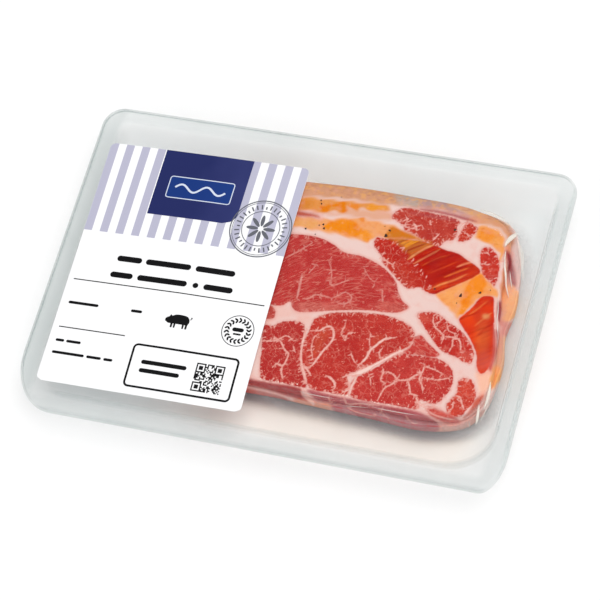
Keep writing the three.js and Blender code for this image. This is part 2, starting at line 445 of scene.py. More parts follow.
def loft(rings: Array, start: Array, end: Array) -> Surface:
    """Rings of points joined into a closed surface, with a fan to a point at either end.

    Args:
        rings: The rings, shaped (ring, point, 3).
        start: The point that closes the first ring.
        end: The point that closes the last ring.

    Returns:
        The surface.
    """
    amount, count, _ = rings.shape
    points = rings.reshape(-1, 3)
    faces = ring_faces(amount, count).tolist()
    i = np.arange(count)
    after = (i + 1) % count
    for pole, ring, turned in ((start, 0, False), (end, amount - 1, True)):
        tip = np.full(count, len(points))
        a, b = ring * count + i, ring * count + after
        faces += np.stack([tip, b, a] if turned else [tip, a, b], axis=1).tolist()
        points = np.vstack([points, pole])
    return Surface(points, faces)


def normals_of(rings: Array) -> Array:
    """Unit normals of a surface given as rings: the cross product of its slopes along and across them."""
    across = np.gradient(rings, axis=0)
    along = np.roll(rings, -1, axis=1) - np.roll(rings, 1, axis=1)
    normal = np.cross(across, along)
    return normal / np.maximum(np.linalg.norm(normal, axis=-1, keepdims=True), 1e-9)


def depth_inside(at: Array, outline: Array, reach: float) -> Array:
    """How deep points lie inside a closed outline: the distance to it, negative outside.

    The distance is the least one to any of the outline's straight runs, and a point is inside when a line
    from it towards +X meets the outline an odd number of times.

    Args:
        at: The points, one a row.
        outline: The outline's points in order.
        reach: Points further than this outside its box get minus this.

    Returns:
        The depths.
    """
    depth = np.full(len(at), -reach, float)
    close = np.all((at > outline.min(0) - reach) & (at < outline.max(0) + reach), axis=1)
    numbers = np.flatnonzero(close)
    start, run = outline, np.roll(outline, -1, axis=0) - outline
    for part in np.array_split(numbers, max(1, len(numbers) // 4000)):
        p = at[part][:, None, :]
        share = np.clip(((p - start) * run).sum(2) / np.maximum((run * run).sum(1), 1e-12), 0, 1)
        gap = np.sqrt((((p - start) - share[..., None] * run) ** 2).sum(2).min(1))
        above = start[:, 1] > p[..., 1]
        changes = above != np.roll(above, -1, axis=1)
        with np.errstate(divide="ignore", invalid="ignore"):
            meets = start[:, 0] + run[:, 0] * (p[..., 1] - start[:, 1]) / run[:, 1]
        inside = (changes & (p[..., 0] < meets)).sum(1) % 2 == 1
        depth[part] = np.maximum(np.where(inside, gap, -gap), -reach)
    return depth


def depth_in_line(at: Array, line: Array, width: float, reach: float) -> Array:
    """How deep points lie inside a line with tapered ends: half its width there, less the distance to it.

    Args:
        at: The points, one a row.
        line: The line's points in order.
        width: The line's full width at its middle.
        reach: Points further than this from its box get minus this.

    Returns:
        The depths.
    """
    depth = np.full(len(at), -reach, float)
    close = np.all((at > line.min(0) - reach) & (at < line.max(0) + reach), axis=1)
    numbers = np.flatnonzero(close)
    start, run = line[:-1], np.diff(line, axis=0)
    place = np.linspace(0, 1, len(line))
    for part in np.array_split(numbers, max(1, len(numbers) // 8000)):
        p = at[part][:, None, :]
        share = np.clip(((p - start) * run).sum(2) / np.maximum((run * run).sum(1), 1e-12), 0, 1)
        gap = np.sqrt((((p - start) - share[..., None] * run) ** 2).sum(2))
        nearest = gap.argmin(1)
        row = np.arange(len(part))
        along = place[nearest] + share[row, nearest] * (place[1] - place[0])
        taper = 0.35 + 0.65 * ramp(np.minimum(along, 1 - along), 0, 0.2)
        depth[part] = np.maximum(width / 2 * taper - gap[row, nearest], -reach)
    return depth


# ---- The pack's form ---------------------------------------------


@dataclass(frozen=True)
class RoundedBox:
    """A rectangle with elliptical corners.

    Attributes:
        left: Its lowest X.
        right: Its highest X.
        near: Its lowest Y.
        far: Its highest Y.
        corners: Corner radii along X and Y: near right, far right, far left, near left.
        corner_steps: Steps round each corner.
        long_steps: Steps along each side parallel to X.
        short_steps: Steps along each side parallel to Y.
    """

    left: float
    right: float
    near: float
    far: float
    corners: Path
    corner_steps: int = 14
    long_steps: int = 64
    short_steps: int = 44

    def ring(self, inset: float = 0.0, z: float = 0.0) -> Array:
        """The outline moved in, anticlockwise: quarter ellipses joined by evenly divided straight runs.

        Args:
            inset: How far it moves in. The radii shrink by half of that, down to 1 mm.
            z: Its height.

        Returns:
            The points, one a row.
        """
        left, right = self.left + inset, self.right - inset
        near, far = self.near + inset, self.far - inset
        places = (
            (right, near, -1, 1, -90), (right, far, -1, -1, 0),
            (left, far, 1, -1, 90), (left, near, 1, 1, 180),
        )
        arcs = []
        for (x, y, sx, sy, start), radii in zip(places, self.corners):
            rx, ry = (max(r - inset / 2, 1.0) for r in radii)
            angle = np.radians(start + np.linspace(0, 90, self.corner_steps + 1))
            corner = [x + sx * rx + rx * np.cos(angle), y + sy * ry + ry * np.sin(angle)]
            arcs.append(np.stack(corner, axis=1))
        runs = []
        for i, arc in enumerate(arcs):
            steps = self.short_steps if i % 2 == 0 else self.long_steps
            share = (np.arange(1, steps) / steps)[:, None]
            runs += [arc, arc[-1] + share * (arcs[(i + 1) % 4][0] - arc[-1])]
        flat = np.vstack(runs)
        return np.column_stack([flat, np.full(len(flat), z)])


PACK = RoundedBox(-110, 110, -75, 75, ((9, 18), (10, 10), (9.5, 9.5), (20, 26)))
MOUTH = RoundedBox(-102, 103.2, -66, 68, ((22, 18), (6, 6), (6, 6), (10, 12)))
RIM_HEIGHT = 16.0
SHEET = 0.8
FLOOR_INSET = 5.2
WALL = ((FLOOR_INSET, SHEET), (3.4, 2.2), (2.4, 5.0), (1.5, 10.1), (0.6, 15.2), (0.0, RIM_HEIGHT))
MIDDLE = np.array([22.0, 4.0])
STACK_TOP = 18.2
SEAM = 9.9
GAP = 0.3
CUT_EDGE = 1.6
RIND_EDGE = 6.5


def cut_face(x: Array, y: Array) -> Array:
    """The upper slice's face: a crown that falls with the square of the distance, and low waves."""
    away = np.hypot(x - MIDDLE[0], y - MIDDLE[1]) / 72
    waves = np.sin((x + y / 2) / 34 * np.pi) * np.cos(y / 34 * np.pi)
    return STACK_TOP - 0.9 * away**2 + 0.25 * waves - 0.25


def seam_face(x: Array, y: Array) -> Array:
    """The lower slice's face: level."""
    return np.full(np.shape(x), SEAM)


def edge_round(angle: Array, cut: float, rind: float) -> Array:
    """The rounding of a slice's edge at each angle: cut by the knife, and rind on the far side."""
    return cut + (rind - cut) * ramp(np.sin(angle), 0.2, 0.8)


def ring_at(ray: Array, reach: Array, height: Array | float) -> Array:
    """A ring at that reach along rays from the middle of the meat, and at that height."""
    return np.column_stack([MIDDLE + ray * reach[:, None], np.broadcast_to(height, reach.shape)])


def ring_on(ray: Array, reach: Array, face: Callable[[Array, Array], Array], drop: Array | float) -> Array:
    """A ring at that reach along rays from the middle of the meat, lowered by drop from a face."""
    at = MIDDLE + ray * reach[:, None]
    return ring_at(ray, reach, face(at[:, 0], at[:, 1]) - drop)


def around(x: float, y: float, reach: Array | float, angle: Array | float) -> Array:
    """Points at that reach and angle from a middle, one a row."""
    return np.stack([x + reach * np.cos(angle), y + reach * np.sin(angle)], axis=-1)


def label_rise(x: Array, y: Array) -> Array:
    """How far label and tent stand above the rim: straight up from the left, rounded to both long sides."""
    along = np.clip((x - MOUTH.left) / 55, 0, 1)
    across = np.maximum(0, 1 - (np.abs(y - 1) / 68) ** 2.2)
    return 2.2 * along * across


@dataclass(frozen=True)
class Outline:
    """A slice's outline, read along rays from the middle of the meat.

    Attributes:
        points: The outline's own points, anticlockwise.
    """

    points: Path

    def reach(self, angle: Array) -> Array:
        """How far the outline lies from the middle at each angle, in millimetres."""
        line = spline(np.array(self.points) - MIDDLE, 1600, True)
        turn = np.arctan2(line[:, 1], line[:, 0])
        order = np.argsort(turn)
        return np.interp(angle, turn[order], np.hypot(line[:, 0], line[:, 1])[order], period=2 * np.pi)

    def slant(self, angle: Array) -> Array:
        """How much longer a step along the ray is than the same step straight out of the outline."""
        small = 0.01
        slope = (self.reach(angle + small) - self.reach(angle - small)) / (2 * small)
        return np.sqrt(1 + (slope / self.reach(angle)) ** 2)


UPPER_OUTLINE = Outline((
    (-30, -42.5), (5, -45), (45, -45.6), (72, -46.4), (86, -43.5), (92.6, -36), (94.8, -25), (93.8, -11),
    (91, 4), (88.8, 20), (88.4, 34), (84, 46), (70, 52), (40, 54), (5, 54), (-26, 50.5), (-44, 39),
    (-52, 16), (-51.5, -8), (-45, -30),
))
LOWER_OUTLINE = Outline((
    (-31, -43.4), (5, -45.8), (45, -47.5), (70, -48.4), (86.5, -43.9), (93, -36), (95.7, -24), (96.2, -12),
    (94, 0), (95.2, 12), (94, 26), (90.8, 39), (85, 49), (69, 54), (40, 55.4), (5, 55.4), (-27, 52),
    (-45.5, 40.5), (-53.5, 16), (-53, -8), (-46.5, -31),
))


# ---- What the cut meat shows -------------------------------------


class Grain(Enum):
    """How a lean area is grained."""

    STREAKED = "streaked"
    DOTTED = "dotted"
    SMOKED = "smoked"
    SIDE = "side"


@dataclass(frozen=True)
class Muscle:
    """A lean area.

    Attributes:
        grain: How it is grained.
        colour: Its colour in even white light.
        outline: Its outline's points in order.
    """

    grain: Grain
    colour: Colour
    outline: Path

    def edge(self) -> Array:
        """A smooth closed curve through its outline."""
        return spline(np.array(self.outline), 12 * len(self.outline), True)


@dataclass(frozen=True)
class Vein:
    """A line of fat.

    Attributes:
        width: Its full width.
        line: The points that it follows.
    """

    width: float
    line: Path

    def curve(self) -> Array:
        """A smooth curve through its points."""
        return spline(np.array(self.line), 8 * len(self.line), False)


@dataclass(frozen=True)
class Patch:
    """An area of fat or rind of one colour, with a soft edge.

    Attributes:
        colour: Its colour in even white light.
        soft: Half the width of its edge.
        outline: Its outline's points in order.
    """

    colour: Colour
    soft: float
    outline: Path

    def share(self, at: Array) -> Array:
        """Its share at each point, from 0 outside to 1 inside, on coordinates pushed about by sines."""
        x, y = at[:, 0], at[:, 1]
        push = [np.sin(0.9 * y + 1.3 * np.sin(0.7 * x)), np.sin(0.8 * x + 1.7 * np.sin(0.9 * y))]
        line = spline(np.array(self.outline), 10 * len(self.outline), True)
        depth = depth_inside(at + 0.35 * np.stack(push, axis=1), line, self.soft + 1)
        return ramp(depth, -self.soft, self.soft)


@dataclass(frozen=True)
class Stain:
    """A soft oval patch of another colour.

    Attributes:
        colour: Its colour in even white light.
        centre: Its middle.
        reach: Its half lengths, where it is down to about a third.
        turn: Its turn from X, in degrees.
        strength: Its share of the colour at its middle.
    """

    colour: Colour
    centre: tuple[float, float]
    reach: tuple[float, float]
    turn: float = 0.0
    strength: float = 1.0

    def share(self, at: Array) -> Array:
        """Its share at each point: strength times exp(-d^3), d the distance in its own half lengths."""
        c, s = math.cos(math.radians(self.turn)), math.sin(math.radians(self.turn))
        x, y = at[:, 0] - self.centre[0], at[:, 1] - self.centre[1]
        squared = ((x * c + y * s) / self.reach[0]) ** 2 + ((y * c - x * s) / self.reach[1]) ** 2
        return self.strength * np.exp(-squared * np.sqrt(squared + 0.05))


@dataclass(frozen=True)
class Streak:
    """A soft stroke of another colour with tapered ends.

    Attributes:
        colour: Its colour in even white light.
        width: Its full width.
        strength: Its share of the colour along its middle.
        line: The points that it follows.
    """

    colour: Colour
    width: float
    strength: float
    line: Path

    def share(self, at: Array) -> Array:
        """Its share at each point: strength times a smooth rise of the depth inside the line."""
        line = spline(np.array(self.line), 8 * len(self.line), False)
        return self.strength * ramp(depth_in_line(at, line, self.width, 1.5), -0.35, 0.3)


MUSCLES = (
    Muscle(Grain.STREAKED, (188, 57, 54), (
        (-60, 22), (-45, 32), (-25, 28), (-12, 25), (-4, 26), (5, 26), (12, 24), (18, 21), (26, 20.5),
        (33, 18.5), (39, 15.5), (44, 11), (46, 7), (49, 3), (52.5, 0.5), (49, -2.5), (44, -3.5), (36, -4),
        (27, -5.5), (18, -7.5), (10, -9.5), (5, -10), (2.5, -8.5), (1, -6), (-2, -8.5), (-7, -9), (-25, -8),
        (-60, -4),
    )),
    Muscle(Grain.DOTTED, (190, 55, 46), (
        (13, -17), (14, -12), (19, -8.5), (27, -6.5), (36, -5.2), (46, -5.2), (53, -7), (57.5, -10),
        (58.4, -14), (56.8, -18), (51, -21.8), (46, -26.8), (40, -31.4), (35, -34.6), (36, -38),
        (37.4, -43.4), (28, -44.2), (20.4, -43.6), (16.6, -37), (14.6, -34.5), (13.1, -31), (12.2, -27),
        (12.2, -22),
    )),
    Muscle(Grain.DOTTED, (180, 50, 46), (
        (-7, -19), (-3.5, -18.5), (0, -16), (4, -14.8), (7.5, -14.6), (9.8, -15.5), (11, -18), (11.3, -24),
        (13, -32), (15.6, -38), (19, -43.4), (8, -43.6), (-2, -43), (-2.5, -41), (-4, -36), (-5, -30),
        (-6, -26),
    )),
    Muscle(Grain.DOTTED, (193, 58, 52), (
        (38.6, -43.8), (37.6, -37), (41, -33.4), (46.6, -28.6), (51, -23.6), (55.5, -20.9), (60, -20.8),
        (65, -20.2), (70, -20.5), (74, -21.5), (78, -24.5), (79.5, -28), (79.5, -33), (78, -37), (76, -40),
        (72, -41), (69, -40), (67.5, -41), (68.5, -44), (55, -44.6),
    )),
    Muscle(Grain.STREAKED, (195, 62, 56), (
        (58.8, -12.5), (61, -11.2), (64, -13.6), (68, -16.2), (71, -18.5), (69.4, -20), (63, -20.3),
        (57, -20.7), (55, -19.6), (57.8, -16.8),
    )),
    Muscle(Grain.DOTTED, (194, 48, 38), (
        (57, -2), (60, -0.5), (64, 0), (67, -1), (69.5, -2.3), (72, -3.8), (75, -5), (77.5, -6.5),
        (81, -9.5), (84, -13), (85.5, -17), (85, -20), (82, -20), (78.5, -18.5), (75, -17.5), (71, -16.5),
        (68, -14), (64, -10), (60, -6),
    )),
    Muscle(Grain.DOTTED, (208, 73, 56), (
        (82, -28.5), (84, -27), (87, -27.5), (89, -29.5), (90.5, -33), (90.8, -37), (88.5, -41), (87, -44.5),
        (84, -45), (81, -43.6), (79.6, -41), (80.4, -38.5), (81.5, -36.5), (82.5, -34), (82, -31),
    )),
    Muscle(Grain.DOTTED, (186, 40, 26), (
        (30, 30.3), (33.5, 30.4), (36.4, 30.2), (42, 28.6), (45, 26.4), (48.4, 23.6), (51, 21.4),
        (53.6, 18.6), (58, 14.8), (59.6, 10.6), (57.5, 9.2), (55, 10.5), (50, 9.2), (47, 10.5), (44, 12.5),
        (40, 16), (36, 19), (35, 21.5), (33, 23.5), (30, 26.5),
    )),
    Muscle(Grain.SMOKED, (184, 24, 6), (
        (35.6, 30.6), (38, 31), (44, 31.8), (52, 32), (58, 30.6), (62, 29.6), (67, 29), (71, 27), (77, 24),
        (78.5, 22), (76.6, 19.4), (70.6, 14.8), (64.6, 10.4), (61.4, 8.4), (57.5, 9.4), (55, 14), (51, 17.4),
        (48, 20.2), (45, 22.6), (42, 25.2), (39.6, 27.2), (36, 28.4),
    )),
    Muscle(Grain.DOTTED, (186, 60, 46), (
        (34, 41), (36, 45), (40, 46.6), (50, 46), (60, 45.4), (64, 44), (63.5, 41), (64, 38), (63, 35),
        (60, 33.8), (58, 31), (54, 31.4), (50, 32.9), (44, 35.3), (41, 36.2), (40, 38), (36, 40),
    )),
    Muscle(Grain.DOTTED, (196, 58, 38), (
        (66.6, 44.4), (71, 43), (72.5, 42), (71, 38.5), (70, 36.5), (67, 34.8), (65.3, 35), (65.5, 39),
        (66, 42),
    )),
    Muscle(Grain.SMOKED, (218, 52, 12), (
        (82.5, 11.2), (86.8, 11.5), (88.5, 6), (90, 1), (91, -4), (92.4, -9), (93.6, -15), (93, -21),
        (90.5, -24), (88, -21.5), (86.5, -16), (84, -12), (81, -8), (77.5, -4.5), (75, -1), (77, 2),
        (79.5, 6), (81, 9.5),
    )),
    Muscle(Grain.DOTTED, (201, 54, 40), (
        (76.5, 32), (77.5, 33.8), (80, 34), (83.2, 31.6), (85.2, 28.6), (86.2, 24), (86.6, 20), (86, 16.8),
        (83.4, 18.3), (80.5, 20.5), (79.5, 21.5), (78.5, 24), (77, 28),
    )),
    Muscle(Grain.SIDE, (192, 104, 82), (
        (-60, 38), (-8, 34.6), (-2, 35.1), (3, 35.5), (1, 36.6), (-4, 37), (-12, 37.6), (-60, 42),
    )),
    Muscle(Grain.STREAKED, (193, 84, 74), (
        (-30, -9), (-8, -9), (-4.5, -11), (-4, -15), (-8, -16), (-30, -17),
    )),
    Muscle(Grain.SIDE, (158, 74, 80), (
        (45, 46.9), (52, 47.6), (60, 47.2), (66, 46.4), (71, 45.2), (66, 45.2), (58, 46.2), (50, 46.6),
    )),
    Muscle(Grain.SIDE, (160, 56, 58), (
        (-60, -44.4), (0, -44.4), (17.4, -44.8), (20, -48), (22, -49.6), (14, -49.8), (4, -48.6), (-6, -48),
        (-60, -47),
    )),
    Muscle(Grain.SIDE, (180, 92, 98), (
        (19.6, -44.6), (30, -44.9), (50, -45.4), (68, -45.4), (73, -46.6), (79, -49.4), (80, -53), (70, -58),
        (40, -58), (33, -52), (31.4, -49.4), (25, -49), (22, -47),
    )),
    Muscle(Grain.SIDE, (188, 84, 76), (
        (-60, -48.6), (0, -49.2), (12, -50.6), (16, -53), (0, -58), (-60, -58),
    )),
    Muscle(Grain.SIDE, (206, 92, 82), (
        (72, -42.6), (80, -43.6), (86, -45.4), (88, -47.4), (83, -48.6), (77, -47.6), (73, -45.4),
    )),
    Muscle(Grain.SIDE, (204, 102, 92), (
        (90, -1), (92.4, -6), (94.4, -14), (94.2, -22), (92.9, -21), (92.2, -12), (90.4, -4),
    )),
    Muscle(Grain.SIDE, (166, 78, 84), ((89.6, 10), (91, 10), (92.8, 4), (92.6, 1), (91, 2.4))),
    Muscle(Grain.SIDE, (176, 80, 84), ((91.8, -3), (93.6, -4), (94.9, -10), (94.7, -18), (93.4, -9))),
    Muscle(Grain.SIDE, (150, 48, 56), (
        (86.8, 34), (89.6, 32.6), (92, 28.6), (94.6, 23), (95.6, 18.4), (93.6, 19), (91.4, 22.6),
        (88.8, 28.6),
    )),
    Muscle(Grain.SIDE, (212, 112, 88), (
        (91.4, -35), (94, -33), (93.6, -38), (91, -43), (88.5, -45), (89.8, -41),
    )),
)

VEINS = (
    Vein(0.9, (
        (13.5, -17.8), (17.5, -17), (19, -15.5), (21.2, -14.3), (23, -15.5), (24.2, -19), (23.5, -22),
        (21.5, -26), (20, -30), (18.5, -33.5), (16, -35.3),
    )),
    Vein(0.9, ((11.6, -17), (11.7, -24), (13, -31), (15.4, -36), (18.6, -42))),
    Vein(0.5, ((17.5, -18.5), (16, -20.5), (16, -25), (17.5, -29), (18.5, -31))),
    Vein(0.8, ((15, -34), (17.5, -36), (19.5, -38))),
    Vein(0.5, ((27.5, -10), (27.5, -14), (27, -16.5), (28.5, -18.5), (29.5, -19.5), (30, -16), (33, -15))),
    Vein(0.5, ((39.5, -14), (40, -18), (41, -21))),
    Vein(0.5, ((33.5, -24), (35, -27), (37.5, -29.5))),
    Vein(1.1, ((51, -14), (46, -16), (43.5, -19), (41.5, -22), (40.5, -26), (38, -30.5))),
    Vein(1.3, (
        (58.6, -13), (57.4, -17.6), (52.4, -21.4), (48, -25.4), (44, -29), (41, -31.6), (38, -33.6),
        (35, -35), (33, -36.4),
    )),
    Vein(2.2, ((44.4, -28.8), (41, -31.8), (38, -33.8))),
    Vein(0.6, ((47, -25.5), (45.5, -22.5), (46.5, -19.5))),
    Vein(1, ((26, -36.8), (28.5, -37.8), (30.5, -39.8), (31.2, -42.2))),
    Vein(1.2, ((38.6, -34), (38.6, -37), (38, -40), (38, -44))),
    Vein(0.8, ((36, -37.5), (37.5, -40.5), (35, -43))),
    Vein(0.6, ((48.5, -28.5), (49.5, -31), (49.5, -34.5), (52, -35.5))),
    Vein(0.7, ((49.5, -30.5), (53.5, -30.7), (57, -33), (61, -32), (63, -30), (65.5, -28), (66, -26))),
    Vein(0.6, ((57, -33), (54.5, -35.5), (52, -38), (50.5, -44))),
    Vein(0.7, ((61, -32.5), (62.5, -36), (63.5, -38), (67, -38.5))),
    Vein(0.7, ((66, -23.5), (66, -27), (65.5, -31), (67.5, -34), (68.5, -37))),
    Vein(0.5, ((66, -25), (70, -25.5), (75, -27))),
    Vein(0.6, ((66, -30), (73, -30), (78, -28))),
    Vein(0.5, ((43.5, -32.5), (45, -35), (46, -38))),
    Vein(0.9, ((66, -38.5), (67, -40.6), (69.5, -42.4), (73, -43), (76, -42))),
    Vein(0.7, ((64, -1), (64.5, -4), (66, -6.5), (69, -8.5), (70.5, -10), (70.5, -13.5))),
    Vein(0.7, ((70.5, -10), (74, -9.8), (77.5, -10.5), (79, -13.5), (79.5, -16))),
    Vein(0.5, ((74.8, -10), (75.2, -13.5), (74.5, -17))),
    Vein(0.5, ((70.5, -4), (72, -7), (76, -8))),
    Vein(0.5, ((66.5, -1), (67.5, -3), (66, -5))),
    Vein(0.7, ((82, -35.5), (84.5, -36), (86, -38.5), (87.4, -41))),
    Vein(0.6, ((81, -43), (82.5, -41), (82, -38.5))),
    Vein(0.6, ((-5, -26), (0, -25), (4, -22), (8, -24))),
    Vein(0.7, ((-1, -23.5), (2, -25), (5, -28.5), (7, -30), (7, -33), (6, -36), (3, -35.4), (2, -37.4))),
    Vein(0.5, ((8, -26), (10, -29))),
    Vein(0.7, ((6, -36), (6.5, -39), (8, -42))),
    Vein(1, ((2.5, 8), (3.2, 0), (3.5, -4.5))),
    Vein(0.6, ((12, 16), (14, 13), (15.5, 9), (16, 5), (18, 5), (22, 7.5), (25, 9))),
    Vein(0.5, ((5, 8), (7, 12), (7.5, 14))),
    Vein(0.6, ((39, 7), (40, 3), (41, 0.5))),
    Vein(0.6, ((18, -1.5), (21, 0.5), (23.5, 2.5), (27, 0.5), (26, -2), (22.5, -3.3), (20, -2))),
    Vein(0.7, ((6, -4), (9, -3), (11, -1), (16, -1), (19, -1.5))),
    Vein(0.5, ((-7, 14), (-3, 17), (0, 20), (3, 23))),
    Vein(0.45, ((28, 16), (31, 12), (35, 9))),
    Vein(0.6, ((34.7, 21.5), (37.7, 19.9), (41, 18.6))),
    Vein(0.45, ((40, 18.7), (41.7, 16.8))),
    Vein(0.45, ((34.6, 22.1), (35.4, 24.4))),
    Vein(0.5, ((39.5, 43.1), (41, 41.2), (40.8, 37.9), (43.5, 37.2), (46.5, 37.5))),
    Vein(0.7, ((44, 40), (45.7, 38.4), (46.4, 36.4))),
    Vein(0.6, ((44.4, 37.4), (45.7, 38.4), (48, 39.6))),
    Vein(0.6, ((54.6, 33.2), (55.6, 35), (56.6, 36.8))),
    Vein(0.5, ((51, 42.5), (51.6, 40.5), (52.4, 40.6))),
    Vein(0.9, ((67, 44.4), (65.3, 42), (65, 39), (64.4, 36))),
    Vein(0.5, ((67, 39), (68.6, 38.8), (69.6, 37.2))),
    Vein(0.5, ((79, 26.2), (80.6, 26), (82, 26.6))),
    Vein(0.45, ((77.5, 31), (79, 31.4), (80.6, 30.6))),
    Vein(2, ((17.3, -44.4), (18.6, -46.8), (21, -48.8), (24, -50.6), (24.6, -52.4))),
    Vein(0.7, ((29.8, -45), (30, -47), (33, -49.2), (36.5, -48.6))),
    Vein(0.9, ((35.4, -44.4), (37.2, -46.6), (38.4, -48), (44, -46.6), (52, -46))),
    Vein(0.7, ((53.6, -45.8), (53.8, -48.4), (55.4, -50), (58, -50.6))),
    Vein(0.6, ((38.6, -49.4), (44, -51), (52, -51.4))),
    Vein(0.7, ((64.4, -48.4), (66, -50), (69, -51.6))),
    Vein(0.8, ((71.6, -43.6), (75, -45.4), (80, -46.2), (86, -46.6))),
    Vein(0.8, ((87.6, 30), (89.4, 24), (91.6, 18), (94, 12.4))),
)

LEAN_MARKS = (
    Stain((182, 54, 52), (-6, 16), (14, 12), 0, 0.5),
    Stain((212, 120, 108), (12, -7), (13, 2.6), 10, 0.7),
    Stain((208, 112, 98), (46, -1), (8, 2.6), 0, 0.6),
    Stain((204, 104, 88), (27, -5.8), (12, 1.8), 8, 0.5),
    Stain((184, 44, 38), (30, -24), (7, 8), 60, 0.6),
    Stain((180, 40, 36), (26, -37), (5, 4), 0, 0.5),
    Stain((206, 90, 60), (19, -22), (2.6, 7), -8, 0.7),
    Stain((205, 88, 62), (44, -17), (3, 3), 0, 0.5),
    Stain((210, 96, 78), (60, -3), (4, 2.6), 0, 0.6),
    Stain((214, 100, 84), (82, -17.5), (3, 3), 0, 0.5),
    Stain((200, 72, 52), (46, 15), (8, 3.4), -32, 0.6),
    Stain((200, 50, 34), (32.4, 27), (3, 4), 0, 0.6),
    Stain((196, 34, 22), (38.6, 27.4), (2, 2), 0, 0.7),
    Stain((170, 20, 6), (60, 21), (9, 8), -10, 0.8),
    Stain((214, 60, 18), (73, 18.4), (9, 2.6), 32, 0.85),
    Stain((214, 70, 26), (62, 12), (6, 1.6), 34, 0.7),
    Stain((196, 56, 20), (74, 25), (4, 1.6), -30, 0.5),
    Stain((206, 62, 38), (43, 36), (3, 1.4), 10, 0.6),
    Stain((176, 58, 40), (57, 33), (3, 2), 30, 0.5),
    Stain((176, 84, 84), (55, 44.6), (14, 1.1), 0, 0.8),
    Patch((196, 116, 44), 1.2, (
        (35.4, 30.6), (36.6, 33), (41, 33.4), (47, 33), (54, 32), (53.4, 29.8), (49.6, 26.6), (47, 23.9),
        (45.8, 25), (43, 26.6), (41, 28.4), (38.5, 30),
    )),
    Streak((240, 158, 40), 1.6, 0.9, ((43, 27.6), (45, 29.6), (48, 31.6), (51, 32.6))),
    Streak((232, 150, 48), 1, 0.8, ((41.4, 29.2), (44, 31.2), (46.6, 32.6))),
    Streak((150, 44, 12), 0.8, 0.85, ((44, 25.7), (47.4, 28.2), (52, 31.2))),
    Streak((158, 52, 20), 0.7, 0.6, ((39, 29), (42, 30.8), (44.6, 32.2))),
    Streak((162, 60, 24), 0.6, 0.6, ((46, 29.2), (49, 31.2), (52, 32.2))),
    Streak((234, 162, 104), 0.9, 0.95, ((46.2, 22.4), (49.4, 26.1), (52.4, 29), (55.6, 31.2))),
    Streak((226, 140, 92), 0.75, 0.9, ((49.3, 20.9), (52.9, 24.2), (56.4, 27.4), (58.8, 29.6))),
    Streak((214, 96, 46), 0.6, 0.7, ((53, 20.6), (57, 23.8), (61.6, 27))),
    Streak((210, 66, 24), 0.8, 0.7, ((56, 17), (62, 21), (68, 25.4))),
    Streak((150, 12, 4), 1.6, 0.7, ((54.6, 21), (60, 25), (65, 28))),
    Streak((150, 14, 6), 1.2, 0.6, ((60, 16), (66, 20), (72, 23.6))),
    Streak((240, 150, 84), 0.8, 0.9, ((60.3, 11.2), (64.4, 14), (68.7, 16.6), (73, 20))),
    Streak((234, 120, 52), 0.7, 0.8, ((64, 17), (69, 20.4), (73.4, 23.2))),
    Streak((238, 150, 104), 0.8, 0.8, ((68, 22.6), (71, 24.6), (74.4, 26.4))),
    Streak((222, 116, 90), 0.5, 0.8, ((35.5, 26.8), (37.8, 28.4), (39.6, 30.6))),
    Stain((226, 66, 14), (79, 1), (3.4, 5), -30, 0.8),
    Stain((226, 104, 46), (87, -8), (3.2, 9), 12, 0.8),
    Streak((236, 130, 64), 0.7, 0.7, ((79, 2), (82, 5.4), (85, 9.4))),
    Streak((240, 140, 76), 0.6, 0.7, ((82.4, -3), (85, 0.6), (88, 4.4))),
    Streak((190, 30, 8), 1.2, 0.6, ((83, 6), (86, 9), (87.6, 10.6))),
    Streak((196, 40, 14), 1.2, 0.6, ((84, -8), (87.6, -3), (90, 0))),
    Stain((232, 160, 100), (86, 2.2), (1.7, 1.3), 0, 0.9),
    Stain((214, 92, 74), (90, -18), (3.4, 5), 0, 0.8),
    Stain((222, 128, 110), (-5, -49), (16, 2), 0, 0.4),
)

FAT = (232, 200, 192)

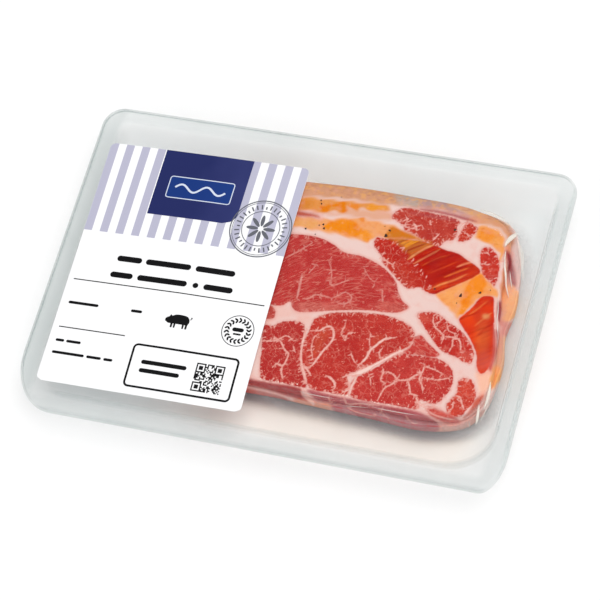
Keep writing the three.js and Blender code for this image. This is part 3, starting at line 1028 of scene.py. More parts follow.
PATCHES = (
    Patch((232, 188, 178), 2, (
        (-14, -9), (3, -9), (12, -10.5), (12.5, -15), (4, -13), (-1, -15), (-5, -18), (-14, -18),
    )),
    Patch((232, 196, 188), 1.5, ((72, -18.5), (82, -21), (88, -25), (82, -27), (79, -24), (72, -21))),
    Patch((223, 166, 138), 1.5, (
        (12, 42.5), (22, 42.5), (33, 43.4), (34, 40), (28, 38.6), (14, 38.4), (3, 37.4), (3, 38.4),
        (12, 39.5),
    )),
    Patch((206, 148, 114), 1.2, (
        (-60, 47), (-8, 44.4), (0, 45.4), (8, 46.2), (15, 46.6), (30, 46.6), (36, 47.6), (42, 47.6),
        (47, 48.4), (60, 62), (-60, 62),
    )),
    Patch((184, 160, 148), 1.6, ((34, 49), (42, 47.4), (50, 48), (50, 56), (34, 56))),
    Patch((178, 144, 140), 1.2, (
        (45, 47.6), (52, 48), (60, 47.6), (68, 45.6), (71, 45.4), (66, 49), (60, 50.6), (58, 58), (45, 58),
    )),
    Patch((214, 160, 126), 1, (
        (57, 50.6), (64, 49.4), (68, 47.4), (73, 45.4), (77, 44.8), (74, 58), (57, 58),
    )),
    Patch((216, 154, 118), 1, (
        (66, 45.6), (72, 44.4), (80, 44.4), (84, 42), (86, 39), (87, 33), (90, 38), (86, 47), (76, 50),
    )),
    Patch((222, 144, 72), 1, (
        (-60, 38), (-10, 38), (-4, 37.8), (1, 37.9), (5.5, 38.3), (8, 39.6), (11, 39.4), (13.4, 40.6),
        (14, 42.6), (18, 41.8), (20, 43), (24, 42.8), (30, 43.4), (33, 44.8), (30, 46.2), (22, 46),
        (14, 45.6), (8, 45.2), (3, 44.8), (-4, 44.6), (-10, 44), (-60, 45),
    )),
    Patch((214, 132, 52), 0.9, (
        (-60, 42), (-10, 42.6), (-5, 43), (-2, 42), (-3, 39), (-6, 38.2), (-60, 38.4),
    )),
    Patch((224, 122, 8), 0.7, (
        (1.4, 41.2), (3.4, 41.6), (6, 42.6), (8.4, 44), (11, 44.8), (13, 43), (12.8, 40.4), (11.6, 39.8),
        (10.6, 41.8), (8, 41.8), (5.4, 40.8), (5.4, 39), (3.6, 38.6), (1.6, 39.6),
    )),
    Patch((228, 132, 46), 0.6, ((13.6, 44), (18, 44.6), (18.8, 43), (14, 43))),
    Patch((232, 150, 50), 0.6, ((22, 43.4), (23, 45.6), (25, 46), (30, 45.4), (29, 44), (25, 43))),
    Patch((235, 160, 102), 1, (
        (-60, 29), (-10, 29.6), (0, 29.2), (8, 29), (16, 28.6), (22, 27.8), (26, 27.4), (28, 28.4),
        (30, 30.4), (33, 31), (37, 30), (42, 33), (40, 36), (36, 37.3), (28, 38), (20, 38.2), (14, 37.2),
        (8, 35.7), (0, 34.9), (-10, 34.6), (-60, 37),
    )),
    Patch((230, 162, 98), 0.9, ((-60, 34), (-10, 34), (2, 34), (3, 31), (-10, 30), (-60, 30))),
    Patch((235, 136, 18), 0.9, (
        (5.6, 31), (10, 30.4), (15, 29.4), (21, 29), (23, 31), (21.6, 34), (19, 36), (15.4, 37), (12.6, 36),
        (8, 34.4),
    )),
    Patch((238, 146, 42), 0.8, ((22.4, 31.2), (24, 28.8), (27, 28.2), (28.4, 29.6), (27, 32), (24, 32.8))),
    Patch((230, 138, 60), 0.6, ((19.4, 37.8), (21, 36.8), (23, 37.4), (21.4, 38.6))),
    Patch((204, 116, 28), 0.9, (
        (33.6, 34), (35, 36.2), (40, 36), (44, 34.9), (49, 33.2), (52, 32.4), (46, 31.6), (40.6, 31.2),
        (38, 30.8), (34.6, 30.6),
    )),
    Patch((237, 156, 80), 0.9, (
        (71.8, 41), (73, 43.4), (77, 43.8), (81, 43.2), (84, 40.6), (85.6, 36.6), (86.4, 31), (85.6, 28),
        (84.8, 31.6), (82, 34.4), (79, 36.1), (75, 36.4), (72.4, 38),
    )),
    Patch((238, 144, 52), 0.9, ((73.4, 38), (76.6, 36.8), (79.8, 38), (80.4, 40.6), (77.6, 43), (74.2, 42))),
    Patch((240, 160, 92), 1.1, (
        (62, 9.4), (63, 12), (69, 16.5), (74, 20), (77, 22.5), (79.5, 22), (82, 19.6), (85, 17.4),
        (87.6, 15.4), (88.6, 12), (86, 11.3), (82.5, 10.8), (80.6, 9), (78.4, 5.4), (76.4, 1.6),
        (74.4, -0.6), (72.4, 1.4), (70, 2.8), (67, 4.6), (64.5, 6.6),
    )),
    Patch((240, 136, 30), 0.9, (
        (75.4, 18.4), (77.2, 20.6), (79.4, 21.6), (81, 19.6), (82.4, 17.2), (82, 13.6), (79, 11.2),
        (77.6, 8), (77.4, 4), (76.4, 1.2), (74.4, 1.4), (74.2, 6), (73.2, 10), (74.6, 14.4),
    )),
    Patch((220, 140, 102), 1, (
        (86.4, 36), (88.4, 30), (88, 22), (89.4, 14), (91.4, 9), (94, 14), (92, 20), (89, 28), (88.6, 36),
    )),
    Patch((244, 176, 118), 0.9, ((91, 13), (92.6, 5.4), (94, 1), (98, 2), (100, 10), (96, 18), (92.6, 19))),
    Patch((218, 146, 134), 1, ((93, 2), (94.2, -3), (96.4, -6), (102, -4), (102, 2), (98, 1.4))),
    Patch((225, 172, 138), 1.2, ((94.6, -5), (95, -20), (98, -22), (104, -20), (104, -4), (99, -6))),
    Patch((244, 170, 102), 1.2, (
        (94.2, -19.4), (99, -20.6), (101, -25), (98, -29), (95.6, -30), (94.4, -26),
    )),
    Patch((243, 186, 160), 1.4, (
        (88.6, -23), (93.6, -22), (95, -29), (94, -35), (91.8, -33), (90.4, -28.6),
    )),
    Patch((218, 142, 112), 1.2, ((16, -48.6), (24, -49.2), (32, -49.2), (33, -51), (32, -56), (16, -56))),
    Patch((210, 154, 140), 1, ((79, -49.6), (86, -47.4), (92, -42.6), (97, -40), (90, -58), (78, -56))),
)


@dataclass(frozen=True)
class Look:
    """Everything that the cut meat shows, as values on its vertices.

    Attributes:
        muscles: The lean areas.
        veins: The lines of fat.
        lean_marks: Stains, patches and streaks on the lean, painted in order.
        fat: The colour of plain fat.
        patches: Coloured areas of the fat, painted in order.
        level: The height at which all of them are laid out.
        slope: How far the grain runs along X and Y for a millimetre down, so that it goes on over an edge.
        reach: How far from an outline depths are worked out.
    """

    muscles: tuple[Muscle, ...]
    veins: tuple[Vein, ...]
    lean_marks: tuple[Stain | Patch | Streak, ...]
    fat: Colour
    patches: tuple[Patch, ...]
    level: float = 17.5
    slope: tuple[float, float] = (0.336, -0.435)
    reach: float = 4.0

    def fat_lines(self) -> list[tuple[Array, float, float]]:
        """The veins, and short side lines off them and off the outlines of grained muscles.

        A side line starts at a random place of its parent, leans 50 to 130 degrees from it, and bends
        halfway. On an outline it runs inwards: to the left where the outline's area is positive.

        Returns:
            For each one its points, its width, and how far its depth reaches.
        """
        rng = np.random.default_rng(3)
        made, parents = [], []
        for v in self.veins:
            line = v.curve()
            made.append((line, v.width, self.reach))
            parents.append((line, 1.9, 2.6, 0.0))
        for m in self.muscles:
            if m.grain in (Grain.DOTTED, Grain.STREAKED):
                line = m.edge()
                x, y = line.T
                inwards = float(np.sign((x * np.roll(y, -1) - np.roll(x, -1) * y).sum()))
                parents.append((line, 1.9, 2.0, inwards))
        for line, gap, longest, inwards in parents:
            along = np.gradient(line, axis=0)
            length = np.linalg.norm(np.diff(line, axis=0), axis=1).sum()
            for place in rng.integers(0, len(line), max(1, int(length / gap))):
                side = inwards or rng.choice((-1.0, 1.0))
                parent = math.atan2(along[place, 1], along[place, 0])
                turn = parent + side * math.radians(rng.uniform(50, 130))
                bent = turn + rng.uniform(-0.6, 0.6)
                half = rng.uniform(0.35, longest / 2)
                middle = line[place] + half * np.array([math.cos(turn), math.sin(turn)])
                tip = middle + half * np.array([math.cos(bent), math.sin(bent)])
                made.append((np.array([line[place], middle, tip]), rng.uniform(0.26, 0.46), 0.8))
        return made

    def values(self, points: Array) -> dict[str, Array]:
        """The attributes that the meat's shader reads.

        Lean colour is the mean of the muscles' colours, each weighted by exp of its depth over 0.5 mm, so
        that it changes halfway between two muscles. The shares of each grain are weighted likewise.

        Args:
            points: The vertices in millimetres.

        Returns:
            lean and vein depths, lean and fat colours, and the shares of grain and of smoke on fat.
        """
        at = points[:, :2] + (self.level - points[:, 2:]) * np.array(self.slope)
        depths = np.stack([depth_inside(at, m.edge(), self.reach) for m in self.muscles])
        weights = np.exp(np.clip(depths, -self.reach, 2) / 0.5)
        weights /= weights.sum(0)
        lean = np.einsum("mv,mc->vc", weights, np.array([tint(*m.colour) for m in self.muscles]))
        vein = np.full(len(at), -self.reach)
        for line, width, reach in self.fat_lines():
            vein = np.maximum(vein, depth_in_line(at, line, width, reach))
        fat = np.tile(tint(*self.fat), (len(at), 1))
        for colours, marks in ((lean, self.lean_marks), (fat, self.patches)):
            for mark in marks:
                share = mark.share(at)[:, None]
                colours += share * (np.array(tint(*mark.colour)) - colours)
        made = {"lean_depth": depths.max(0), "vein_depth": vein, "lean_tint": lean, "fat_tint": fat}
        for grain in Grain:
            of_grain = np.array([m.grain is grain for m in self.muscles], float)
            made[grain.value] = of_grain @ weights
        yellow = np.clip(1 - fat[:, 2] / (0.5 * tint(*self.fat)[2]), 0, 1)
        made["golden"] = yellow * np.clip(fat[:, 0] * 1.4 - 0.3, 0, 1)
        return made


MEAT_LOOK = Look(MUSCLES, VEINS, LEAN_MARKS, FAT, PATCHES)


# ---- Finishes ----------------------------------------------------


@dataclass(frozen=True)
class MeatFinish:
    """Moist cured meat: lean with flecks, dots and fibres, soft fat, veins, and blotches of smoke.

    Attributes:
        name: The material's name.
        fleck: The spacing of the flecks of fat in streaked lean.
        mesh: The spacing of the fine net of fat in it.
        dot: The spacing of the dots of fat in dotted lean.
        cell: The size of the cells that fat parts it into.
        gloss: The share of wet gloss.
    """

    name: str
    fleck: float = 0.95
    mesh: float = 1.7
    dot: float = 1.15
    cell: float = 3.4
    gloss: float = 0.04

    def material(self) -> bpy.types.Material:
        """Builds the material from the meat's attributes and noise on object coordinates.

        Fibres of the large muscle fan out: their rows are y - x (0.62 - 0.0078 x).
        """
        n = Nodes(self.name)
        at = n.place()
        dotted, streaked, smoked, side = (
            n.attribute(g.value) for g in (Grain.DOTTED, Grain.STREAKED, Grain.SMOKED, Grain.SIDE)
        )
        ragged = n.noise(at, 1.2, 3.0, 0.6) - 0.5
        depth = (n.attribute("lean_depth") + ragged * (0.6 + dotted * 1.2)) * (1.0 - side * 0.65)
        lean = depth.smooth(-0.36, 0.4)
        vein_depth = n.attribute("vein_depth") + (n.noise(at, 0.9, 2.0, 0.6, seed=3.0) - 0.5) * 0.7
        vein = vein_depth.smooth(-0.24, 0.12)

        x, y, z = (n.node("ShaderNodeSeparateXYZ", {}, {0: at}, axis) for axis in "XYZ")
        fan = n.node("ShaderNodeCombineXYZ", {}, {"X": x * 0.3, "Y": y - x * (0.62 - x * 0.0078), "Z": z})
        fan = n.warped(fan, 2.4, 0.5)
        patchy = n.noise(at, 8.0, 2.0, seed=11.0)
        dashes = n.cells(fan, self.fleck).smooth(0.36, 0.16)
        dashes = dashes * n.noise(at, 3.6, 2.0, seed=41.0).smooth(0.42, 0.58)
        rows = n.noise(fan, 1.3, 3.0, 0.6, seed=8.0)
        dots = n.cells(n.warped(at, 1.6, 0.5), self.dot).smooth(0.34, 0.16)
        dots = dots * n.noise(at, 2.6, 2.0, seed=5.0).smooth(0.46, 0.6)
        walls = n.cells(n.warped(at, 1.7, 0.9), self.cell, "DISTANCE_TO_EDGE").smooth(0.075, 0.02)
        walls = walls * n.noise(at, 5.0, 2.0, seed=19.0).smooth(0.4, 0.54)
        net = n.cells(n.warped(fan, 2.0, 0.7), self.mesh, "DISTANCE_TO_EDGE").smooth(0.13, 0.02)
        net = net * n.noise(at, 6.0, 2.0, seed=29.0).smooth(0.4, 0.58)
        fine = n.noise(at, 0.8, 2.0, 0.6, seed=27.0)
        fat_in_lean = (dots * dotted * 0.75).most(dashes * streaked * 0.5)
        fat_in_lean = fat_in_lean.most(walls * dotted * 0.24).most(net * streaked * 0.28)

        turned = {"Vector": n.warped(at, 6.0, 0.5), "Rotation": (0.0, 0.0, -0.6)}
        fibre_way = n.node("ShaderNodeMapping", {}, turned)
        fibres = n.noise(n.stretched(fibre_way, (0.1, 1.0, 1.0)), 1.1, 4.0, 0.65, seed=13.0)

        plain = 1.0 - smoked
        with_fat = n.layered(
            n.attribute("lean_tint", "Color"),
            (patchy.smooth(0.62, 0.38) * 0.35, (166, 30, 30)),
            (fine.smooth(0.52, 0.34) * plain * 0.4, (158, 32, 30)),
            (rows.smooth(0.52, 0.74) * plain * 0.25, (218, 98, 84)),
            (smoked * fibres.smooth(0.54, 0.68) * 0.45, (226, 80, 24)),
            (smoked * fibres.smooth(0.47, 0.34) * 0.5, (146, 14, 4)),
            (smoked * fibres.smooth(0.68, 0.76) * 0.6, (232, 150, 92)),
            (fat_in_lean, (234, 152, 134)),
        )

        golden = n.attribute("golden")
        blotch = n.noise(at, 3.0, 3.0, 0.55, seed=23.0)
        brushed = n.noise(n.stretched(at, (0.4, 1.0, 1.0)), 1.3, 3.0, 0.6, seed=33.0)
        rind = y.smooth(46.0, 49.0)
        rosy = n.layered(
            n.attribute("fat_tint", "Color"),
            (golden * blotch.smooth(0.48, 0.7) * 0.5, (226, 104, 8)),
            (golden * blotch.smooth(0.42, 0.28) * 0.4, (246, 182, 128)),
            (golden * brushed.smooth(0.56, 0.72) * 0.4, (196, 92, 26)),
            (rind * blotch.smooth(0.48, 0.62) * 0.5, (232, 172, 100)),
            (rind * brushed.smooth(0.5, 0.68) * 0.45, (176, 116, 88)),
            (n.noise(at, 4.0, 3.0, seed=21.0).smooth(0.48, 0.75) * 0.3, (230, 166, 152)),
            (depth.smooth(-1.5, -0.2) * (1.0 - golden) * 0.4, (226, 150, 138)),
        )
        meat = n.mix(lean, rosy, with_fat)
        vein_tint = n.mix(vein_depth.smooth(0.05, 0.55), tint(228, 158, 146), tint(240, 206, 196))
        colour = n.mix(vein * (0.88 - side * 0.35 - streaked * 0.42), meat, vein_tint)

        relief = lean * 0.3 + rows * 0.2 + fat_in_lean * 0.3 + vein * 0.3 + fibres * smoked * 0.5
        rough = 0.5 - n.noise(at, 5.0, seed=31.0) * 0.16
        return n.finish(
            Base_Color=colour, Roughness=rough, Specular_IOR_Level=0.0, Coat_Weight=self.gloss,
            Coat_Roughness=0.12, Normal=n.bump(relief, 0.25),
        )


@dataclass(frozen=True)
class SheetFinish:
    """Clear, slightly milky thermoformed sheet.

    Attributes:
        name: The material's name.
        colour: Its own colour in even white light.
        rough: Its roughness.
    """

    name: str
    colour: Colour = (158, 174, 172)
    rough: float = 0.22

    def material(self) -> bpy.types.Material:
        """Builds the material: alpha from the sheet's values, faint clouds, flow lines, painted light and
        shade.
        """
        n = Nodes(self.name)
        at = n.place()
        cloud = n.noise(n.warped(at, 30.0, 6.0), 26.0, 2.0)
        flow = n.noise(n.stretched(at, (0.12, 1.0, 1.0)), 9.0, 1.0, seed=4.0)
        # Painted light on the sheet: a white painted highlight and a grey painted shadow beside the meat,
        # which also raise the alpha, a warm painted reflection of the meat, and paler painted light low in
        # the recess.
        painted_highlight = n.attribute("painted_highlight")
        shade = n.attribute("shade")
        colour = n.layered(
            tint(*self.colour),
            (n.attribute("painted_recess_light"), (206, 220, 220)),
            (n.attribute("painted_meat_bounce"), (238, 226, 206)),
            (shade, (136, 130, 134)),
            (painted_highlight, (252, 253, 253)),
        )
        alpha = n.attribute("milk") * (1.0 + (cloud - 0.5) * 0.5) + painted_highlight * 0.85 + shade * 0.28
        rough = self.rough + (flow - 0.5) * 0.12
        return n.finish(
            Base_Color=colour, Roughness=rough, Alpha=alpha.within(0.02, 0.9), IOR=1.5,
            Normal=n.bump(cloud + flow * 0.3, 0.2),
        )


@dataclass(frozen=True)
class FilmFinish:
    """Thin clear film with a haze where it stands off the meat, and drawn-out folds.

    Attributes:
        name: The material's name.
        clear: The alpha of the smooth film.
    """

    name: str
    clear: float = 0.004

    def material(self) -> bpy.types.Material:
        """Builds the material from the film's haze and stretched noise."""
        n = Nodes(self.name)
        at = n.place()
        haze = n.attribute("haze")
        folds = n.noise(n.stretched(n.warped(at, 14.0, 2.0), (1.0, 0.6, 0.16)), 3.0)
        line = (folds - 0.5).smooth(-0.05, 0.0) * (folds - 0.5).smooth(0.05, 0.0)
        alpha = (self.clear + haze * (0.08 + folds * 0.08) + haze * line * 0.08).within(0.0, 0.9)
        colour = n.mix(folds * 0.6, tint(240, 244, 244), tint(224, 228, 228))
        waves = n.bump(folds * haze, 0.5)
        return n.finish(Base_Color=colour, Roughness=0.14, Alpha=alpha, IOR=1.45, Normal=waves)


@dataclass(frozen=True)
class FoldAndGlintFinish:
    """Film gathered into a milky pleat, its bright white partly painted highlight; also painted highlight
    lines.

    Attributes:
        name: The material's name.
        colour: Its colour in even white light.
        thick: Its alpha where it is thickest.
    """

    name: str
    colour: Colour = (250, 248, 240)
    thick: float = 0.85

    def material(self) -> bpy.types.Material:
        """Builds the material: alpha falls towards the pleat's edges, and fine lines run along it."""
        n = Nodes(self.name)
        body = n.attribute("body")
        grain = n.noise(n.place(), 0.6)
        # The pleat's white is partly its milkiness and partly painted highlight; the thin lines are painted
        # highlight.
        alpha = (body * (self.thick - 0.1 + grain * 0.2)).within(0.0, 0.95)
        colour = n.mix(grain * 0.5, tint(*self.colour), tint(236, 222, 204))
        return n.finish(Base_Color=colour, Roughness=0.2, Alpha=alpha, Normal=n.bump(grain, 0.05))


@dataclass(frozen=True)
class PaperFinish:
    """Smooth white label paper with faint fibres.

    Attributes:
        name: The material's name.
    """

    name: str

    def material(self) -> bpy.types.Material:
        """Builds the material: nearly even white, with a light tooth."""
        n = Nodes(self.name)
        at = n.place()
        fibres = n.noise(at, 0.5, 3.0, 0.6)
        colour = n.mix(n.noise(at, 18.0, seed=2.0) * 0.5, tint(252, 252, 253), tint(247, 248, 250))
        return n.finish(Base_Color=colour, Roughness=0.46 + fibres * 0.1, Normal=n.bump(fibres, 0.02))


@dataclass(frozen=True)
class InkFinish:
    """A printed colour, slightly uneven, as solid areas come off a press.

    Attributes:
        name: The material's name.
        colour: Its colour in even white light.
        other: The colour that it drifts to across the sheet.
    """

    name: str
    colour: Colour
    other: Colour

    def material(self) -> bpy.types.Material:
        """Builds the material: two close colours mixed by the place on the sheet, and press mottle."""
        n = Nodes(self.name)
        at = n.place()
        x = n.node("ShaderNodeSeparateXYZ", {}, {0: at}, "X")
        drift = (x * 0.02 + 1.15 + (n.noise(at, 14.0) - 0.5) * 0.6).within(0.0, 1.0)
        mottle = n.noise(at, 0.7, 2.0, seed=9.0)
        colour = n.mix(drift, tint(*self.colour), tint(*self.other))
        return n.finish(
            Base_Color=colour, Roughness=0.4 + mottle * 0.12, Specular_IOR_Level=0.12,
            Normal=n.bump(mottle, 0.01),
        )


# ---- Tray --------------------------------------------------------


@dataclass(frozen=True)
class Tray:
    """The thermoformed tray: floor, coved walls, sealing flange with a low bead, and turned-down lip.

    Attributes:
        profile: The recess from floor to mouth, as inset from the mouth and height.
        profile_steps: Rings along the recess.
        flange_steps: Rings across the flange.
        bead_height: How far the bead near the outer edge stands up.
        lip_drop: How far the lip turns down.
        lip_round: The rounding of its upper edge.
    """

    profile: Path = WALL
    profile_steps: int = 34
    flange_steps: int = 12
    bead_height: float = 0.28
    lip_drop: float = 1.8
    lip_round: float = 0.7

    def recess(self, offset: float) -> Array:
        """The rings of the recess from the floor up, moved out and down by offset for the outer side.

        The profile is a smooth curve through its points, as inset and height.
        """
        line = spline(np.array(self.profile), self.profile_steps, False)
        slope = np.gradient(line, axis=0)
        slope /= np.linalg.norm(slope, axis=1)[:, None]
        line = line + offset * np.stack([-slope[:, 1], slope[:, 0]], axis=1)
        return np.stack([MOUTH.ring(inset, max(z, 0.0)) for inset, z in line])

    def flange(self, offset: float) -> Array:
        """The rings across the flange, from the mouth to the lip, lowered by offset.

        Ring t lies at share t of the way out, with a bead (1 - cos) / 2 high round t = 0.86.
        """
        share = np.linspace(0, 1, self.flange_steps)[1:]
        inner = MOUTH.ring(0.0, 0.0)
        outer = PACK.ring(self.lip_round, 0.0)
        bead = self.bead_height * (1 + np.cos(np.clip((share - 0.86) / 0.12, -1, 1) * np.pi)) / 2
        rings = inner + share[:, None, None] * (outer - inner)
        rings[..., 2] = (RIM_HEIGHT - offset + bead)[:, None]
        return rings

    def lip(self) -> Array:
        """The rings round the lip: a quarter turn down, a straight drop, and back up inside."""
        angle = np.linspace(0, np.pi / 2, 5)[1:]
        r, foot = self.lip_round, RIM_HEIGHT - self.lip_drop
        turn = [(r * (1 - math.sin(a)), RIM_HEIGHT - r * (1 - math.cos(a))) for a in angle]
        hem = [(0.0, foot + 0.15), (0.12, foot), (SHEET - 0.12, foot), (SHEET, foot + 0.15)]
        return np.stack([PACK.ring(inset, z) for inset, z in (*turn, *hem, (SHEET, RIM_HEIGHT - SHEET))])

    def build(self) -> bpy.types.Object:
        """Builds the tray as one closed shell and gives it its finish.

        Returns:
            The piece.
        """
        inside, under = self.recess(0.0), self.recess(-SHEET)
        floor = MOUTH.ring(FLOOR_INSET, SHEET)
        shares = np.concatenate([np.linspace(0.12, 0.7, 4), np.linspace(0.75, 0.985, 18)])
        middle = np.array([*MIDDLE, SHEET])
        floor_rings = middle + shares[:, None, None] * (floor - middle)
        base_rings = floor_rings[::-1] * [1, 1, 0]
        over, back = (inside, self.flange(0.0), self.lip()), (self.flange(SHEET)[::-1], under[::-1])
        rings = np.concatenate([floor_rings, *over, *back, base_rings])
        rings[:, :, 2] = np.maximum(rings[:, :, 2], 0.0)
        surface = loft(rings, middle, middle * [1, 1, 0])
        surface.values.update(self.dress(surface.points))
        finish = SheetFinish("clear_sheet")
        return surface.piece("tray_shell", finish.material(), "clear_tray", ("tray",))

    def dress(self, points: Array) -> dict[str, Array]:
        """How milky the sheet is, and where light and shade are painted on it.

        Args:
            points: The tray's vertices.

        Returns:
            milk, a painted highlight, a warm painted reflection of the meat, paler painted light low in the
            recess and a painted shadow on each vertex. The shadow falls with exp(-(d / 3.4)^2), d the
            distance from the meat, and is full on the near side.
        """
        x, y, z = points.T
        outside = np.hypot(np.maximum(np.abs(x) - 99, 0), np.maximum(np.abs(y) - 66, 0))
        flange = ramp(outside, 1.0, 4.5) * ramp(z, 13.5, 15.6)
        rim = ramp(np.maximum(np.abs(x) - 107.4, np.abs(y) - 72.4), 0, 1.6)
        # Painted highlight: a white line along the mouth on the right side, and dashes along the right rim.
        mouth = 103.0 - 0.02 * np.maximum(-y - 30, 0)
        at_mouth = np.exp(-((x - mouth) / 0.62) ** 2) * ramp(z, 14.6, 15.8)
        at_mouth *= ramp(y, -50, -40) * (1 - ramp(y, 50, 62))
        dashes = 0.35 + 0.65 * ramp(np.sin(y * 0.9), 0.2, 0.8)
        at_rim = np.exp(-((x - 108.6) / 0.4) ** 2) * ramp(y, -58, -50) * dashes * (1 - ramp(y, 60, 66))
        painted_highlight = np.clip(0.8 * at_mouth + 0.5 * at_rim, 0, 1)
        # Painted reflection: a warm tint on the near floor, as light thrown off the meat; it also adds a
        # little milk.
        painted_meat_bounce = ramp(x, -70, 0) * ramp(-y, 20, 52) * (1 - ramp(z, 1.5, 7)) * (1 - 0.6 * ramp(x, 80, 100))
        milk = 0.09 + 0.03 * painted_meat_bounce + 0.07 * flange + 0.1 * rim + 0.07 * ramp(-x, 98, 103)
        # Painted light: paler low in the recess, against the shade there.
        painted_recess_light = 1 - ramp(z, 4, 14)
        # Painted shadow: grey beside the meat, full on its near side and below 8 mm.
        turn = np.arctan2(y - MIDDLE[1], x - MIDDLE[0])
        gap = (np.hypot(x - MIDDLE[0], y - MIDDLE[1]) - LOWER_OUTLINE.reach(turn)) / LOWER_OUTLINE.slant(turn)
        near = 0.1 + 0.9 * ramp(-np.sin(turn), 0.25, 0.7)
        shade = np.exp(-(np.maximum(gap, 0) / 3.4) ** 2) * near * (z < 8)
        return {"milk": milk, "painted_highlight": painted_highlight, "painted_meat_bounce": painted_meat_bounce, "painted_recess_light": painted_recess_light, "shade": shade}


# ---- Meat --------------------------------------------------------


@dataclass(frozen=True)
class Slice:
    """A slice of neck with a rounded edge, on rays from the middle of the meat.

    Attributes:
        name: The piece's name.
        node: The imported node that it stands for.
        outline: Its outline at its widest.
        look: What its cut face shows.
        face: The height of its face at X and Y.
        base: The height of its base.
        edge: The rounding of its edge on the sides that the knife left.
        rind_edge: The rounding at the far side.
        columns: Cells of the face along X.
        rows: Cells of the face along Y.
        under_edge: The rounding at its base.
        taper: How far its side draws in towards the base.
    """

    name: str
    node: str
    outline: Outline
    look: Look
    face: Callable[[Array, Array], Array]
    base: float
    edge: float
    rind_edge: float
    columns: int
    rows: int
    under_edge: float = 1.3
    taper: float = 0.9

    def grid(self) -> tuple[Array, Array, Array]:
        """A rectangular grid from -1 to 1 both ways, coarse under the label, its quads, and its border.

        Returns:
            The points, the quads and the border's vertex numbers, anticlockwise.
        """
        columns = np.interp(np.linspace(0, 1, self.columns + 1), (0, 0.08, 1), (-1, -0.45, 1))
        u, v = np.meshgrid(columns, np.linspace(-1, 1, self.rows + 1), indexing="ij")
        number = np.arange(u.size).reshape(u.shape)
        quads = grid_faces(*u.shape, flipped=True)
        border = np.concatenate([number[:-1, 0], number[-1, :-1], number[:0:-1, -1], number[0, :0:-1]])
        return np.stack([u.ravel(), v.ravel()], axis=1), quads, border

    def build(self) -> bpy.types.Object:
        """Builds the slice and gives it its finish.

        The face is the grid, with each point moved along its ray by its larger coordinate times the reach
        there. Below its border, rings follow a quarter ellipse, the side and the base's rounding.

        Returns:
            The piece.
        """
        grid, quads, border = self.grid()
        half = np.array([73.0, 49.0])
        angle = np.arctan2(grid[:, 1] * half[1], grid[:, 0] * half[0])
        edge = edge_round(angle, self.edge, self.rind_edge)
        reach, slant = self.outline.reach(angle), self.outline.slant(angle)
        ray = around(0, 0, 1, angle)
        face_points = ring_on(ray, np.abs(grid).max(1) * (reach - slant * edge), self.face, 0)
        turn, rays, reach, slant, edge = (v[border] for v in (angle, ray, reach, slant, edge))
        drop = np.minimum(edge, (float(self.face(*MIDDLE)) - self.base) / 2)
        rings = []
        for bend in np.linspace(0, np.pi / 2, 12)[1:]:
            inset = edge * (1 - np.sin(bend))
            rings.append(ring_on(rays, reach - slant * inset, self.face, drop * (1 - np.cos(bend))))
        top = rings[-1][:, 2]
        ripple = 0.16 * np.sin(turn * 37 + 1.0) + 0.12 * np.sin(turn * 71 + 2.0)
        for down in np.linspace(0, 1, 11)[1:]:
            inset = self.taper * down + ripple * np.sin(np.pi * down)
            height = top + (self.base + self.under_edge - top) * down
            rings.append(ring_at(rays, reach - slant * inset, height))
        for bend in np.linspace(0, np.pi / 2, 5)[1:]:
            inset = self.taper + self.under_edge * (1 - np.cos(bend))
            height = self.base + self.under_edge * (1 - np.sin(bend))
            rings.append(ring_at(rays, reach - slant * inset, height))
        for share in (0.9, 0.7, 0.45, 0.2):
            rings.append(ring_at(rays, (reach - slant * (self.taper + self.under_edge)) * share, self.base))
        stack = np.stack(rings)
        count, first = len(border), len(face_points)
        i = np.arange(count)
        after = (i + 1) % count
        collar = np.stack([border, first + i, first + after, border[after]], axis=1)
        sides = ring_faces(len(stack), count, first)
        pole = first + stack.shape[0] * count
        last = first + (stack.shape[0] - 1) * count
        cap = np.stack([np.full(count, pole), last + after, last + i], axis=1)
        points = np.vstack([face_points, stack.reshape(-1, 3), [[*MIDDLE, self.base]]])
        faces = quads.tolist() + collar.tolist() + sides.tolist() + cap.tolist()
        surface = Surface(points, faces)
        surface.values.update(self.look.values(surface.points))
        lift = 0.1 * np.tanh(surface.values["lean_depth"] / 1.5)
        surface.points[:first, 2] += lift[:first]
        return surface.piece(self.name, MeatFinish(self.name + "_meat").material(), "meat", (self.node,))


LOWER_SLICE = Slice(
    "lower_slice_meat", "lower_slice", LOWER_OUTLINE, MEAT_LOOK, seam_face, base=SHEET + GAP, edge=0.8,
    rind_edge=0.8, columns=190, rows=120,
)
UPPER_SLICE = Slice(
    "upper_slice_meat", "upper_slice", UPPER_OUTLINE, MEAT_LOOK, cut_face, base=SEAM + 0.06, edge=CUT_EDGE,
    rind_edge=RIND_EDGE, columns=256, rows=216, under_edge=0.5, taper=0.35,
)


# ---- Film --------------------------------------------------------


